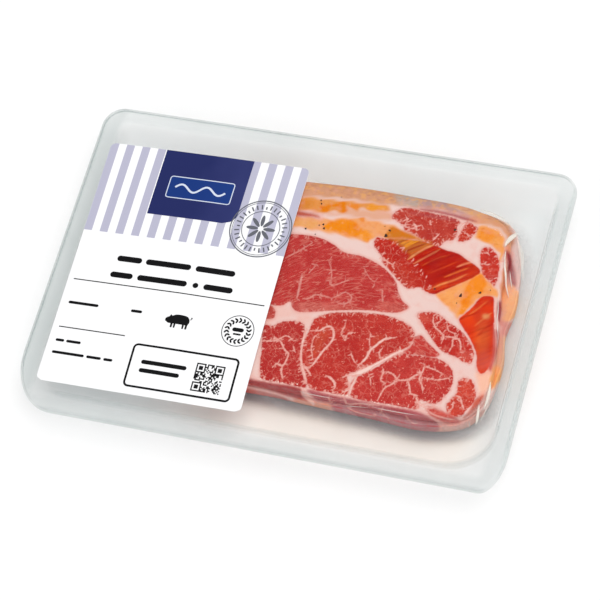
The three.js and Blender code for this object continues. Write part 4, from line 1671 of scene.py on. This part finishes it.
@dataclass(frozen=True)
class SkinFilm:
    """The clear film drawn down over meat, floor and walls, and sealed on the flange.

    Attributes:
        rays: How many rays it is built on.
        lift: How far it lies above what it covers.
        thickness: Its thickness.
        margin: How far inside the lip it ends.
        deepest: How far it follows the rounding of the meat's edge down.
    """

    rays: int = 560
    lift: float = 0.28
    thickness: float = 0.12
    margin: float = 1.9
    deepest: float = 3.9

    def control_rings(self) -> Array:
        """Rings from the middle of the meat out to the flange, over face, edge, side, floor and wall."""
        floor_box = RoundedBox(MOUTH.left, MOUTH.right, MOUTH.near, MOUTH.far, MOUTH.corners, 26, 130, 90)
        floor = floor_box.ring(FLOOR_INSET)[:, :2]
        ray = floor - MIDDLE
        out = np.hypot(ray[:, 0], ray[:, 1])
        ray = ray / out[:, None]
        turn = np.arctan2(ray[:, 1], ray[:, 0])
        upper, lower = UPPER_OUTLINE.reach(turn), LOWER_OUTLINE.reach(turn)
        upper_slant, lower_slant = UPPER_OUTLINE.slant(turn), LOWER_OUTLINE.slant(turn)
        edge = edge_round(turn, CUT_EDGE, RIND_EDGE)

        flat = upper - upper_slant * edge
        shares = (0.15, 0.4, 0.65, 0.85, 0.95, 1.0)
        rings = [ring_on(ray, flat * share, cut_face, -self.lift) for share in shares]
        deep = np.minimum(edge, self.deepest)
        for bend in np.radians((22, 45, 67, 90)):
            out_by = self.lift * np.sin(bend) - edge * (1 - np.sin(bend))
            drop = deep * (1 - np.cos(bend)) - self.lift * np.cos(bend)
            rings.append(ring_on(ray, upper + upper_slant * out_by, cut_face, drop))
        foot = upper + upper_slant * self.lift
        ledge = np.maximum(lower + lower_slant * (self.lift - 0.9), foot + 0.15)
        side = np.maximum(lower + lower_slant * self.lift, foot + 0.3)
        slot = out - lower
        bridge = np.clip((3 - slot) * 2.2, 0, SEAM / 2)
        skirt = lower + lower_slant * (self.lift + np.minimum(1.2, np.maximum(slot, 0) / 4))
        rings += [
            ring_at(ray, foot, SEAM + GAP + 1.0),
            ring_at(ray, ledge, SEAM + self.lift),
            ring_at(ray, side, SEAM - 1.4),
            ring_at(ray, side + 0.1, np.maximum(5.0, bridge)),
            ring_at(ray, skirt, np.maximum(1.4, bridge) + self.lift),
        ]
        edge_of_floor = out - 0.2
        for share in (0.3, 0.65):
            at_floor = skirt + (edge_of_floor - skirt) * share
            rings.append(ring_at(ray, at_floor, np.maximum(SHEET, bridge) + self.lift))
        for inset, z in WALL[:-1]:
            ring = floor_box.ring(inset + self.lift * 0.8, z + self.lift * 0.5)
            ring[:, 2] = np.maximum(ring[:, 2], bridge + self.lift)
            rings.append(ring)
        rings.append(floor_box.ring(self.lift, RIM_HEIGHT + self.lift * 0.5))
        pack_box = RoundedBox(PACK.left, PACK.right, PACK.near, PACK.far, PACK.corners, 26, 130, 90)
        inner, outer = floor_box.ring(0.0), pack_box.ring(self.margin)
        for share in (0.25, 0.6, 1.0):
            ring = inner + share * (outer - inner)
            ring[:, 2] = RIM_HEIGHT + 0.06 + 0.2 * (1 - share)
            rings.append(ring)
        return np.stack(rings)

    def refined(self, rings: Array) -> Array:
        """More rings between the control rings, by a Catmull-Rom curve along each ray at even parameters."""
        pieces = 3
        padded = np.concatenate([2 * rings[:1] - rings[1:2], rings, 2 * rings[-1:] - rings[-2:-1]])
        p0, p1, p2, p3 = padded[:-3], padded[1:-2], padded[2:-1], padded[3:]
        made = []
        slope, bend, twist = p2 - p0, 2 * p0 - 5 * p1 + 4 * p2 - p3, 3 * p1 - p0 - 3 * p2 + p3
        for k in range(pieces):
            t = k / pieces
            made.append(0.5 * (2 * p1 + slope * t + bend * t * t + twist * t**3))
        return np.concatenate([np.stack(made, axis=1).reshape(-1, *rings.shape[1:]), rings[-1:]])

    def build(self) -> bpy.types.Object:
        """Builds the film as a thin closed shell with folds and haze, and gives it its finish.

        Folds stand off by a sine across the rays, strongest where the film hangs between meat and floor.

        Returns:
            The piece.
        """
        rings = self.refined(self.control_rings())
        x, y = rings[..., 0], rings[..., 1]
        turn = np.arctan2(y - MIDDLE[1], x - MIDDLE[0])
        away = np.hypot(x - MIDDLE[0], y - MIDDLE[1])
        lower = LOWER_OUTLINE.reach(turn.ravel()).reshape(turn.shape)
        upper = UPPER_OUTLINE.reach(turn.ravel()).reshape(turn.shape)
        hang = ramp(away - upper, -0.5, 1.5) * (1 - ramp(away - lower, 1.5, 6.0))
        folds = np.sin(turn * 61 + 2 * np.sin(turn * 7)) + 0.6 * np.sin(turn * 113 + 1.0)
        far_corner = np.exp(-((turn - 0.5) / 0.2) ** 2)
        near_corner = np.exp(-((turn + 0.55) / 0.12) ** 2)
        outward = normals_of(rings)
        outward *= np.sign(outward[..., 2:].mean())
        gathered = 0.1 + 0.5 * far_corner + 0.3 * near_corner
        rings = rings + outward * (hang * np.maximum(folds, 0) * gathered)[..., None]
        tented = 1 - ramp(x, -12, 4)
        tent = RIM_HEIGHT + label_rise(x, y) + self.lift
        rings[..., 2] += tented * (np.maximum(rings[..., 2], tent) - rings[..., 2])
        outward = normals_of(rings)
        outward *= np.sign(outward[..., 2:].mean())
        over, under = rings, rings - outward * self.thickness
        stack = np.concatenate([over, under[::-1]])
        top = np.array([*MIDDLE, float(cut_face(*MIDDLE)) + self.lift])
        surface = loft(stack, top, top - [0, 0, self.thickness])
        web = far_corner * ramp(away - upper, 0, 2) * (1 - ramp(away - lower, 2.0, 7.0))
        near_side = ramp(-np.sin(turn), 0.3, 0.6)
        haze = np.clip(hang * (0.22 + 0.6 * near_corner + 0.5 * near_side) + web, 0, 1) * (1 - tented)
        both = np.concatenate([haze, haze[::-1]]).ravel()
        surface.values["haze"] = np.concatenate([both, [haze[0].mean()] * 2])
        return surface.piece("skin_film", FilmFinish("clear_film").material(), "clear_film", ("film",))


@dataclass(frozen=True)
class PleatsAndGlints:
    """Pleats where the film gathers at the meat's corners, partly painted highlight, and thin painted
    highlight lines along the meat's edges.

    Attributes:
        paths: For each one its full width, its strength, and the points that it runs through.
        samples: Points along each one.
        across: Points across each one.
        thickness: The film's thickness in them.
    """

    paths: tuple[tuple[float, float, tuple[Point, ...]], ...] = (
        (2.3, 1, (
            (86, 35.1, 18.1), (86.4, 37.6, 17.9), (87.2, 40.6, 16.4), (88, 43, 14.6), (88.4, 45.4, 12.6),
        )),
        (0.7, 0.8, ((86.9, 34, 18), (87.3, 30.4, 17.9), (87.9, 27.2, 17.7))),
        (1.3, 1, (
            (87.4, 30.6, 17.9), (88.2, 26.6, 17.8), (89.3, 22.9, 16.8), (89.9, 19.5, 13.2),
            (91.8, 15.4, 10.8),
        )),
        (0.7, 0.7, ((89.4, 27.6, 12.4), (90.6, 23.6, 11.2), (92.2, 19.6, 10.6))),
        (1.7, 1, ((95.2, -26.4, 17.4), (95, -29.6, 14.4), (94.4, -33, 11.6), (93.7, -36.6, 10.6))),
        (1.5, 0.9, ((92.4, -36.2, 15.2), (92.2, -38.7, 12.4), (91.9, -41.2, 9.4), (91.2, -42.6, 6.4))),
        (0.4, 0.6, ((95.2, -31, 10.6), (94.6, -35.5, 9.6), (93.6, -39.4, 8.6), (92.4, -43, 7))),
        (0.4, 0.5, ((89.2, -43.4, 12.6), (89.4, -44.2, 9), (88.6, -45.2, 6))),
        # Painted highlights: thin lines along the near edge of the upper slice.
        (0.32, 0.5, ((16, -46.1, 17.5), (24, -46.3, 17.2), (33, -46.4, 17.4))),
        (0.36, 0.55, ((48, -46.9, 17.3), (56, -47.2, 17.2), (63, -47.3, 17.5), (70, -47.2, 18))),
        (0.3, 0.5, ((34, -47, 12.4), (40, -47.2, 14.6), (48, -47.2, 16.4))),
        # Painted highlight: a line along the right edge of the upper slice.
        (0.44, 0.85, (
            (88.8, 16, 17.9), (89.2, 11, 17.9), (90.4, 6, 17.8), (91.4, 0, 17.8), (93, -5, 17.2),
            (94.2, -11, 16.4),
        )),
        (3.6, 0.3, ((70, 52.6, 14.6), (75, 51.6, 13.6), (80, 50, 13.4), (86, 47, 12.6))),
        (2.6, 0.28, ((89.4, 42, 13.4), (91.6, 37, 12.4), (93.6, 31.6, 11.6), (94.8, 26, 11))),
        (0.5, 0.5, (
            (69.6, 53.4, 12), (73.8, 53.2, 11), (79.1, 52, 10.8), (82.6, 50.2, 11.4), (85.1, 49.6, 11.6),
        )),
        (0.55, 0.5, (
            (89.6, 42.4, 11.4), (91.3, 39.4, 10.7), (93.2, 35.6, 10.6), (93.9, 32.4, 10.6), (93.9, 30, 10.5),
        )),
        (0.5, 0.5, ((93.7, 30.6, 10.5), (95.1, 27.4, 10.4), (95.5, 23.6, 10.4))),
    )
    samples: int = 40
    across: int = 7
    thickness: float = 0.05

    def build(self) -> bpy.types.Object:
        """Builds each pleat as a leaf, its width and arch falling off to both ends.

        Returns:
            The piece.
        """
        parts, bodies = [], []
        for width, strength, path in self.paths:
            line = spline(np.array(path), self.samples, False)
            along = np.gradient(line, axis=0)
            along /= np.linalg.norm(along, axis=1)[:, None]
            out = line * [1, 1, 0] - [*MIDDLE, 0]
            out = out / np.linalg.norm(out, axis=1)[:, None] + [0, 0, 0.8]
            side = np.cross(along, out)
            side /= np.linalg.norm(side, axis=1)[:, None]
            outward = np.cross(side, along)
            place = np.linspace(0.004, 0.996, self.samples)
            swell = np.sin(np.pi * place) ** 0.6
            step = np.linspace(-1, 1, self.across)
            body = strength * (1 - step**4)[None, :] * np.sin(np.pi * place)[:, None] ** 0.5
            lift = 0.3 * width * (1 - step**2)[None, :] * swell[:, None]
            flat = line[:, None] + side[:, None] * (step[None, :, None] * width / 2 * swell[:, None, None])
            points = (flat + outward[:, None] * lift[..., None]).reshape(-1, 3)
            leaf = Surface(points, grid_faces(self.samples, self.across).tolist())
            parts.append(leaf.slab(self.thickness * np.repeat(outward, self.across, axis=0)))
            bodies += [body.ravel(), body.ravel()]
        surface = parts[0].joined(*parts[1:])
        surface.values["body"] = np.clip(np.concatenate(bodies), 0, 1)
        return surface.piece("film_pleats_and_glints", FoldAndGlintFinish("pleat_and_glint_film").material(), "clear_film")


# ---- Label -------------------------------------------------------


@dataclass(frozen=True)
class Label:
    """The paper label, which bridges from the rim to the meat, and its plain print.

    Attributes:
        length: Its size along its own X.
        width: Its size along its own Y.
        corner: Its corner radius.
        middle: The place of its middle on the tray.
        turn: Its turn from the tray's axes, in degrees.
        paper: The paper's thickness.
        step: The spacing of its mesh.
        bottom: The height of its underside at the rim.
        ink: The thickness of the print.
        block_low: Where the dark block ends towards the near side.
    """

    length: float = 94.0
    width: float = 118.0
    corner: float = 2.5
    middle: tuple[float, float] = (-53.9, -2.0)
    turn: float = 1.0
    paper: float = 0.25
    step: float = 1.2
    bottom: float = RIM_HEIGHT + 1.0
    ink: float = 0.028
    block_low: float = 26.3

    def on_top(self, flat: Array, lift: float) -> Array:
        """Points of the label's own plane, put on its upper side: turned, moved, and raised as it rises.

        Args:
            flat: The points, one a row.
            lift: How far they stand above the paper.

        Returns:
            The points in the pack's frame.
        """
        c, s = math.cos(math.radians(self.turn)), math.sin(math.radians(self.turn))
        x = self.middle[0] + c * flat[:, 0] - s * flat[:, 1]
        y = self.middle[1] + s * flat[:, 0] + c * flat[:, 1]
        return np.column_stack([x, y, self.bottom + self.paper + label_rise(x, y) + lift])

    def patch(self, u: Array, v: Array, lift: float) -> Surface:
        """The open surface on a grid of places along the label's X and Y."""
        points = self.on_top(np.stack([u.ravel(), v.ravel()], axis=1), lift)
        return Surface(points, grid_faces(*u.shape).tolist())

    def field(self, rows: Array, ends: Callable[[Array], tuple[Array, Array]], lift: float) -> Surface:
        """An area between two edges, row by row.

        Args:
            rows: The rows' places along the label's Y.
            ends: Gives the left and right edge of each row from its place.
            lift: How far it stands above the paper.

        Returns:
            The open surface.
        """
        left, right = ends(rows)
        columns = max(2, math.ceil(float((right - left).max()) / self.step) + 1)
        u = left[:, None] + np.linspace(0, 1, columns) * (right - left)[:, None]
        return self.patch(u, np.repeat(rows[:, None], columns, axis=1), lift)

    def rows(self, low: float, high: float) -> Array:
        """Even places along the label's Y, a step or less apart."""
        return np.linspace(low, high, max(2, math.ceil((high - low) / self.step) + 1))

    def box(self, left: float, right: float, low: float, high: float, lift: float) -> Surface:
        """A plain rectangle."""

        def ends(v: Array) -> tuple[Array, Array]:
            """The same edges for each row."""
            return np.full(len(v), left), np.full(len(v), right)

        return self.field(self.rows(low, high), ends, lift)

    def disc(self, x: float, y: float, radii: tuple[float, float], lift: float, turn: float = 0.0) -> Surface:
        """An oval as a fan of quads: rings at shares of its radii, turned about its middle.

        Args:
            x: Its middle along the label's X.
            y: Its middle along the label's Y.
            radii: Its half lengths.
            lift: How far it stands above the paper.
            turn: Its turn, in radians.

        Returns:
            The open surface.
        """
        angle = np.linspace(0, 2 * np.pi, 24, endpoint=False)
        c, s = math.cos(turn), math.sin(turn)
        rows = []
        for share in (0.02, 0.6, 1.0):
            a, b = radii[0] * share * np.cos(angle), radii[1] * share * np.sin(angle)
            rows.append(np.stack([x + a * c - b * s, y + a * s + b * c], axis=1))
        points = self.on_top(np.vstack(rows), lift)
        return Surface(points, ring_faces(3, 24).tolist())

    def stroke(self, path: Array, width: float, lift: float, closed: bool = False) -> Surface:
        """A line of even width along a path: two edges, each half the width from it.

        Args:
            path: The path's points on the label, one a row.
            width: The line's width.
            lift: How far it stands above the paper.
            closed: Whether it runs back to its start.

        Returns:
            The open surface.
        """
        if closed:
            ahead, behind = np.roll(path, -1, axis=0), np.roll(path, 1, axis=0)
        else:
            ahead, behind = np.vstack([path[1:], path[-1:]]), np.vstack([path[:1], path[:-1]])
        along = ahead - behind
        along /= np.linalg.norm(along, axis=1)[:, None]
        side = np.stack([-along[:, 1], along[:, 0]], axis=1) * width / 2
        points = self.on_top(np.vstack([path - side, path + side]), lift)
        count = len(path)
        i = np.arange(count if closed else count - 1)
        after = (i + 1) % count
        return Surface(points, np.stack([i, after, after + count, i + count], axis=1).tolist())

    def ring(self, x: float, y: float, radius: float, width: float, lift: float) -> Surface:
        """A circle's line."""
        angle = np.linspace(0, 2 * np.pi, 72, endpoint=False)
        return self.stroke(around(x, y, radius, angle), width, lift, True)

    def word(self, left: float, right: float, middle: float, height: float, lift: float) -> Surface:
        """A bar with round ends, as long as a word."""
        radius = height / 2

        def ends(v: Array) -> tuple[Array, Array]:
            """The bar's ends at each height: half circles."""
            inset = radius - np.sqrt(np.maximum(radius**2 - (v - middle) ** 2, 0))
            return left + inset, right - inset

        rows = middle + radius * np.sin(np.linspace(-np.pi / 2, np.pi / 2, 9))
        return self.field(rows, ends, lift)

    def sheet(self) -> bpy.types.Object:
        """The paper itself: a closed plate with round corners."""
        half, r = self.width / 2, self.corner

        def ends(v: Array) -> tuple[Array, Array]:
            """The paper's edges: straight, with quarter circles at the corners."""
            into = np.clip(np.abs(v) - (half - r), 0, r)
            inset = r - np.sqrt(r * r - into**2)
            return -self.length / 2 + inset, self.length / 2 - inset

        plate = self.field(self.rows(-half, half), ends, 0.0).slab(self.paper)
        return plate.piece("label_sheet", PaperFinish("label_paper").material(), "label_paper", ("label",))

    def block_edge(self, v: Array) -> tuple[Array, Array]:
        """The dark block's edges, with its lower right corner rounded."""
        r = 6.0
        into = np.clip(self.block_low + r - v, 0, r)
        return np.full(len(v), -20.2), 21.2 - (r - np.sqrt(r * r - into**2))

    def stripes(self) -> Surface:
        """Thirteen stripes with gaps of the same width, down to one line."""
        width = self.length / 25
        low, high = 14.7, self.width / 2
        made = []
        for i in range(13):
            left = -self.length / 2 + 2 * i * width
            right = left + width
            outer = i in (0, 12)
            top = high - (self.corner if outer else 0.05)
            made.append(self.box(left + 0.05 * (i == 0), right - 0.05 * (i == 12), low, top, 0.03))
            if outer:
                made.append(self.corner_patch(left, right, top, i == 0))
        return made[0].joined(*made[1:])

    def corner_patch(self, left: float, right: float, low: float, at_left: bool) -> Surface:
        """The top of an outer stripe, rounded with the paper's corner."""
        r = self.corner

        def ends(v: Array) -> tuple[Array, Array]:
            """Straight on the inner side and a quarter circle on the outer one."""
            inset = r - np.sqrt(np.maximum(r * r - np.clip(v - low, 0, r) ** 2, 0)) + 0.05
            straight = np.full(len(v), right if at_left else left)
            return (left + inset, straight) if at_left else (straight, right - inset)

        return self.field(self.rows(low, low + r - 0.06), ends, 0.03)

    def seal(self) -> Surface:
        """A round mark: rings, even ticks between them and a rosette of eight petals."""
        x, y, lift = 33.2, 26.3, 0.1
        made = [self.ring(x, y, r, w, lift) for r, w in ((13.8, 0.5), (12.9, 0.22), (8.5, 0.32))]
        for k in range(32):
            reach = np.linspace(9.6, 11.8 if k % 4 else 10.9, 3)
            made.append(self.stroke(around(x, y, reach, 2 * np.pi * k / 32), 0.62, lift))
        for k in range(8):
            a = 2 * np.pi * k / 8
            made.append(self.disc(*around(x, y, 3.9, a), (2.7, 0.85), lift, a))
        return made[0].joined(*made[1:])

    def small_mark(self) -> list[Surface]:
        """A small round mark: a ring, two rings of leaves and two bars."""
        x, y, lift = 36.3, -23.0, 0.04
        made = [self.ring(x, y, 7.1, 0.34, lift)]
        for k in range(18):
            a = 2 * np.pi * (k + 0.5) / 18
            for reach, lean in ((5.5, 0.8), (4.4, -0.8)):
                made.append(self.disc(*around(x, y, reach, a), (0.85, 0.42), lift, a + lean))
        bars = ((2.6, 0.5, 1.8), (1.8, -1.6, 0.8))
        return made + [self.word(x - half, x + half, y + up, height, lift) for half, up, height in bars]

    def animal(self) -> list[Surface]:
        """A plain silhouette of a pig between a back line and a belly line with four legs, and its tail."""
        back = spline(np.array([
            (2.9, -22.3), (3.5, -21.6), (4.6, -21.0), (5.0, -20.1), (5.7, -20.6), (7.4, -19.9), (10.6, -19.8),
            (12.8, -20.3), (13.7, -21.3), (14.1, -22.4),
        ]), 60, False)
        x = np.linspace(2.95, 14.05, 112)
        top = np.interp(x, back[:, 0], back[:, 1])
        belly = -24.2 + 0.9 * ramp(x, 4.8, 2.9) + 1.2 * ramp(x, 13.4, 14.1)
        belly = np.minimum(belly, top - 0.12)
        for left, right in ((5.9, 6.8), (7.3, 8.1), (11.2, 12.0), (12.6, 13.5)):
            belly = np.where((x > left) & (x < right), -26.1, belly)
        rows = np.linspace(0, 1, 6)
        body = self.patch(np.repeat(x[None, :], 6, axis=0), belly + rows[:, None] * (top - belly), 0.04)
        tail = np.array([(13.9, -21.5), (14.6, -21.2), (14.9, -20.6), (14.5, -20.4), (14.6, -20.9)])
        return [body, self.stroke(spline(tail, 16, False), 0.28, 0.045)]

    def code_block(self) -> list[Surface]:
        """A square of random cells with three framed corners, which holds nothing."""
        rng = np.random.default_rng(7)
        cells = 21
        left, low, size = 22.7, -53.0, 12.9 / cells
        filled = rng.random((cells, cells)) < 0.57
        for column, row in ((0, 0), (0, cells - 7), (cells - 7, cells - 7)):
            filled[column:column + 7, row:row + 7] = True
            filled[column + 1:column + 6, row + 1:row + 6] = False
            filled[column + 2:column + 5, row + 2:row + 5] = True
        made = []
        for column, row in np.argwhere(filled):
            x, y = left + column * size, low + row * size
            made.append(self.box(x, x + size * 0.98, y, y + size * 0.98, 0.04))
        return made

    def black_print(self) -> Surface:
        """Headings as bars, rules, a frame, the silhouette and the marks."""
        lift = 0.04
        words = (
            (-27.2, -15.5, 2.9, 2.7), (-13.6, 7.6, 2.9, 2.7), (9.8, 28.0, 2.9, 2.7),
            (-28.2, -17.6, -5.1, 2.7), (-15.4, 7.9, -5.1, 2.7),
            (10.6, 13.2, -5.1, 2.5), (15.6, 29.0, -5.1, 2.7),
            (-43.2, -29.0, -21.0, 1.3), (-13.6, -8.4, -21.0, 1.3),
            (-43.6, -39.6, -39.4, 1.25), (-38.6, -31.8, -39.4, 1.25),
            (-43.6, -28.6, -45.2, 1.25), (-27.4, -20.6, -45.2, 1.25), (-19.4, -15.2, -45.2, 1.25),
            (-2.2, 18.6, -43.6, 1.9), (-2.2, 16.2, -47.5, 1.9),
        )
        made = [self.word(a, b, y, h, lift) for a, b, y, h in words]
        made.append(self.box(-44.3, 44.8, -9.9, -9.42, lift))
        made.append(self.box(-44.0, -12.9, -33.25, -32.77, lift))
        frame = RoundedBox(-7.2, 40.6, -55.3, -36.0, ((1.8, 1.8),) * 4, 6, 40, 16).ring()[:, :2]
        made.append(self.stroke(frame, 0.95, lift, True))
        made += self.animal() + self.small_mark() + self.code_block()
        return made[0].joined(*made[1:])

    def build(self) -> list[bpy.types.Object]:
        """Builds the paper and each printed colour.

        Returns:
            The pieces.
        """
        block = self.field(self.rows(self.block_low, self.width / 2 - 0.05), self.block_edge, 0.06)
        panel = (-14.3, 15.9, 35.6, 46.2)
        outline = RoundedBox(*panel, ((0.3, 0.3),) * 4, 2, 30, 12).ring()[:, :2]
        wave_x = np.linspace(-11.0, 12.6, 80)
        wave = np.stack([wave_x, 40.9 + 1.7 * np.sin((wave_x + 11) / 23.6 * 4 * np.pi)], axis=1)
        lines = self.stroke(outline, 0.42, 0.13, True).joined(self.stroke(wave, 0.9, 0.13))
        prints = (
            ("print_stripes", self.stripes(), InkFinish("lilac_ink", (186, 185, 205), (190, 189, 208))),
            ("print_block", block, InkFinish("navy_ink", (34, 42, 96), (60, 66, 122))),
            ("print_panel", self.box(*panel, 0.09), InkFinish("blue_ink", (22, 54, 124), (32, 64, 136))),
            ("print_lines", lines, InkFinish("white_ink", (214, 222, 238), (222, 228, 242))),
            ("print_seal", self.seal(), InkFinish("grey_ink", (96, 98, 106), (104, 106, 114))),
            ("print_black", self.black_print(), InkFinish("black_ink", (10, 10, 12), (14, 14, 16))),
        )
        made = [self.sheet()]
        for name, surface, ink in prints:
            made.append(surface.slab(self.ink).piece(name, ink.material(), "label_paper"))
        return made


# ---- Small things ------------------------------------------------


@dataclass(frozen=True)
class Specks:
    """Small uneven lumps, half sunk into the meat.

    Attributes:
        name: The piece's and material's name.
        dark: One end of their colour in even white light.
        light: The other end.
        flat: How high they stand, as a share of their radius.
        places: Where they lie, and each one's radius.
    """

    name: str
    dark: Colour
    light: Colour
    flat: float
    places: tuple[tuple[float, float, float], ...]

    def build(self) -> bpy.types.Object:
        """Builds the specks as rings round a pole, their radius swelling with a sine.

        Returns:
            The piece.
        """
        rng = np.random.default_rng(11)
        angle = np.linspace(0, 2 * np.pi, 10, endpoint=False)
        parts = []
        for x, y, radius in self.places:
            long, turn = rng.uniform(0.9, 1.7), rng.uniform(0, np.pi)
            swell = 1 + 0.25 * np.sin(angle * 3 + rng.uniform(0, 6))
            height = float(cut_face(np.array(x), np.array(y)))
            rings = []
            for lean in np.radians((20, 45, 70, 90, 120)):
                a = radius * long * np.sin(lean) * swell * np.cos(angle)
                b = radius * np.sin(lean) * swell * np.sin(angle)
                up = np.full(len(angle), height + 0.1 + self.flat * radius * np.cos(lean))
                flat = [x + a * np.cos(turn) - b * np.sin(turn), y + a * np.sin(turn) + b * np.cos(turn)]
                rings.append(np.stack([*flat, up], axis=1))
            top = np.array([x, y, height + 0.1 + self.flat * radius * 1.05])
            parts.append(loft(np.stack(rings), top, top - [0, 0, 0.1 + 2 * self.flat * radius]))
        points = np.vstack([part.points for part in parts])
        starts = np.cumsum([0, *(len(part.points) for part in parts)])
        faces = [[i + int(start) for i in face] for part, start in zip(parts, starts) for face in part.faces]
        n = Nodes(self.name)
        colour = n.mix(n.noise(n.place(), 0.4, 2.0), tint(*self.dark), tint(*self.light))
        material = n.finish(Base_Color=colour, Roughness=0.45, Specular_IOR_Level=0.3)
        return Surface(points, faces).piece(self.name, material, "meat")


PEPPER = Specks("pepper", (30, 12, 8), (66, 30, 16), 0.3, (
    (-2, 29.2, 0.45), (6, 30.7, 0.5), (5.2, 32.5, 0.45), (3.5, 31.8, 0.25), (3, 27.2, 0.22), (1, 43.8, 0.28),
    (1.6, 42.2, 0.28), (9.6, 46.8, 0.2), (34, 31.7, 0.69), (35, 34.4, 0.38), (32.4, 36, 0.2),
    (73, 9.8, 0.55), (80.8, 12.6, 0.45), (61.3, 10.8, 0.4), (62.7, 39.9, 0.53), (72.2, 6, 0.2),
    (84.8, 14.6, 0.22),
))
# Cream specks: froth along the near edge, and painted highlight sparkles along the right edge and at the far
# corner.
FROTH_AND_GLINTS = Specks("froth_and_glints", (244, 200, 186), (250, 226, 214), 0.35, (
    (-1.6, -43.4, 0.24), (0.4, -43.5, 0.16), (2.6, -43.4, 0.22), (3.6, -43.5, 0.16), (5.4, -43.5, 0.2),
    (6.4, -43.5, 0.28), (8.2, -43.5, 0.2), (11.4, -43.2, 0.16), (12.8, -43.4, 0.24), (14.8, -43, 0.26),
    (33.6, -44, 0.2), (35.4, -44.1, 0.28), (37.2, -44, 0.3), (48.4, -44.6, 0.22), (49.6, -44.8, 0.26),
    (51, -44.9, 0.24), (52.2, -43.4, 0.16), (55.6, -44.6, 0.2), (59.6, -43.6, 0.22), (70.8, -43.8, 0.26),
    (72.4, -45, 0.24), (76.6, 43.9, 0.16), (79.8, 43, 0.26), (80.6, 42.6, 0.2), (82.4, 41.6, 0.26),
    (83, 40.9, 0.2), (88.6, 7.4, 0.16), (88.9, 5.4, 0.18), (89.5, 3, 0.2), (90.1, -0.4, 0.22),
    (91, -2.4, 0.2),
))


# ---- Studio ------------------------------------------------------


@dataclass(frozen=True)
class Studio:
    """The pale floor, the soft light and the camera.

    Attributes:
        azimuth: Where the camera stands round the pack, in degrees.
        elevation: Its height above the horizon, in degrees.
        roll: Its turn about its own view, in degrees.
        distance: Its distance from the target, in millimetres.
        target: What it looks at.
        lens: Its focal length on a 36 mm sensor.
        sky: The strength of the light from all round.
        lamps: Each broad lamp's share of the light on the floor, its spread in degrees, and where it stands.
    """

    azimuth: float = 37.65
    elevation: float = 61.2
    roll: float = -24.45
    distance: float = 1142.5
    target: Point = (4.5, -3.9, 16.0)
    lens: float = 159.86
    sky: float = 0.48
    lamps: tuple[tuple[float, float, Point], ...] = (
        (0.45, 50.0, (0.36, 0.2, 1.0)),
        (0.08, 50.0, (-0.5, -0.75, 0.7)),
        (0.08, 50.0, (0.35, -0.85, 0.6)),
    )

    def place_object(self, name: str, data: bpy.types.ID) -> bpy.types.Object:
        """Puts an object with that data into the scene."""
        made = bpy.data.objects.new(name, data)
        bpy.context.scene.collection.objects.link(made)
        return made

    def camera(self) -> None:
        """Makes the camera: it looks along the line to the target, turned about it by the roll."""
        a, e, r = (math.radians(v) for v in (self.azimuth, self.elevation, self.roll))
        back = Vector((math.sin(a) * math.cos(e), -math.cos(a) * math.cos(e), math.sin(e)))
        right = (-back).cross(Vector((0, 0, 1))).normalized()
        up = right.cross(-back)
        right, up = math.cos(r) * right + math.sin(r) * up, math.cos(r) * up - math.sin(r) * right
        data = bpy.data.cameras.new("camera")
        data.lens, data.sensor_width = self.lens, 36.0
        data.clip_start, data.clip_end = 0.05, 20.0
        made = self.place_object("camera", data)
        made.matrix_world = Matrix((
            (right.x, up.x, back.x, 0), (right.y, up.y, back.y, 0), (right.z, up.z, back.z, 0), (0, 0, 0, 1),
        ))
        made.location = (Vector(self.target) + back * self.distance) * MM
        bpy.context.scene.camera = made

    def floor(self) -> None:
        """Makes the floor, a wide plain sheet just under the tray."""
        half, z = 3.0, -0.0002
        mesh = bpy.data.meshes.new("floor")
        corners = [(-half, -half, z), (half, -half, z), (half, half, z), (-half, half, z)]
        mesh.from_pydata(corners, [], [(0, 1, 2, 3)])
        n = Nodes("floor_paper")
        colour = n.mix(n.noise(n.place(), 300.0), (0.96, 0.96, 0.96), (0.98, 0.98, 0.98))
        mesh.materials.append(n.finish(Base_Color=colour, Roughness=0.9, Specular_IOR_Level=0.0))
        self.place_object("floor", mesh)

    def light(self) -> None:
        """Makes even light from all round and broad lamps, the key one from the right."""
        world = bpy.data.worlds.new("studio")
        world.use_nodes = True
        sky = world.node_tree.nodes["Background"]
        sky.inputs["Color"].default_value = (1.0, 1.0, 1.0, 1.0)
        sky.inputs["Strength"].default_value = self.sky
        bpy.context.scene.world = world
        for number, (share, spread, towards) in enumerate(self.lamps):
            direction = Vector(towards).normalized()
            data = bpy.data.lights.new(f"lamp_{number}", "SUN")
            data.energy = share * math.pi / direction.z
            data.angle = math.radians(spread)
            made = self.place_object(data.name, data)
            made.rotation_euler = direction.to_track_quat("Z", "Y").to_euler()
        bpy.context.scene.cycles.transparent_max_bounces = 40
        bpy.context.scene.cycles.diffuse_bounces = 8
        settings = bpy.context.scene.view_settings
        settings.view_transform = "Standard"
        settings.look = "None"

    def build(self) -> None:
        """Sets up camera, floor and light."""
        self.camera()
        self.floor()
        self.light()


def main() -> None:
    """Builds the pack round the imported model."""
    logging.basicConfig(level=logging.INFO, format="%(name)s: %(message)s")
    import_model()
    Studio().build()
    Tray().build()
    LOWER_SLICE.build()
    UPPER_SLICE.build()
    SkinFilm().build()
    PleatsAndGlints().build()
    Label().build()
    PEPPER.build()
    FROTH_AND_GLINTS.build()


if __name__ == "__main__":
    main()
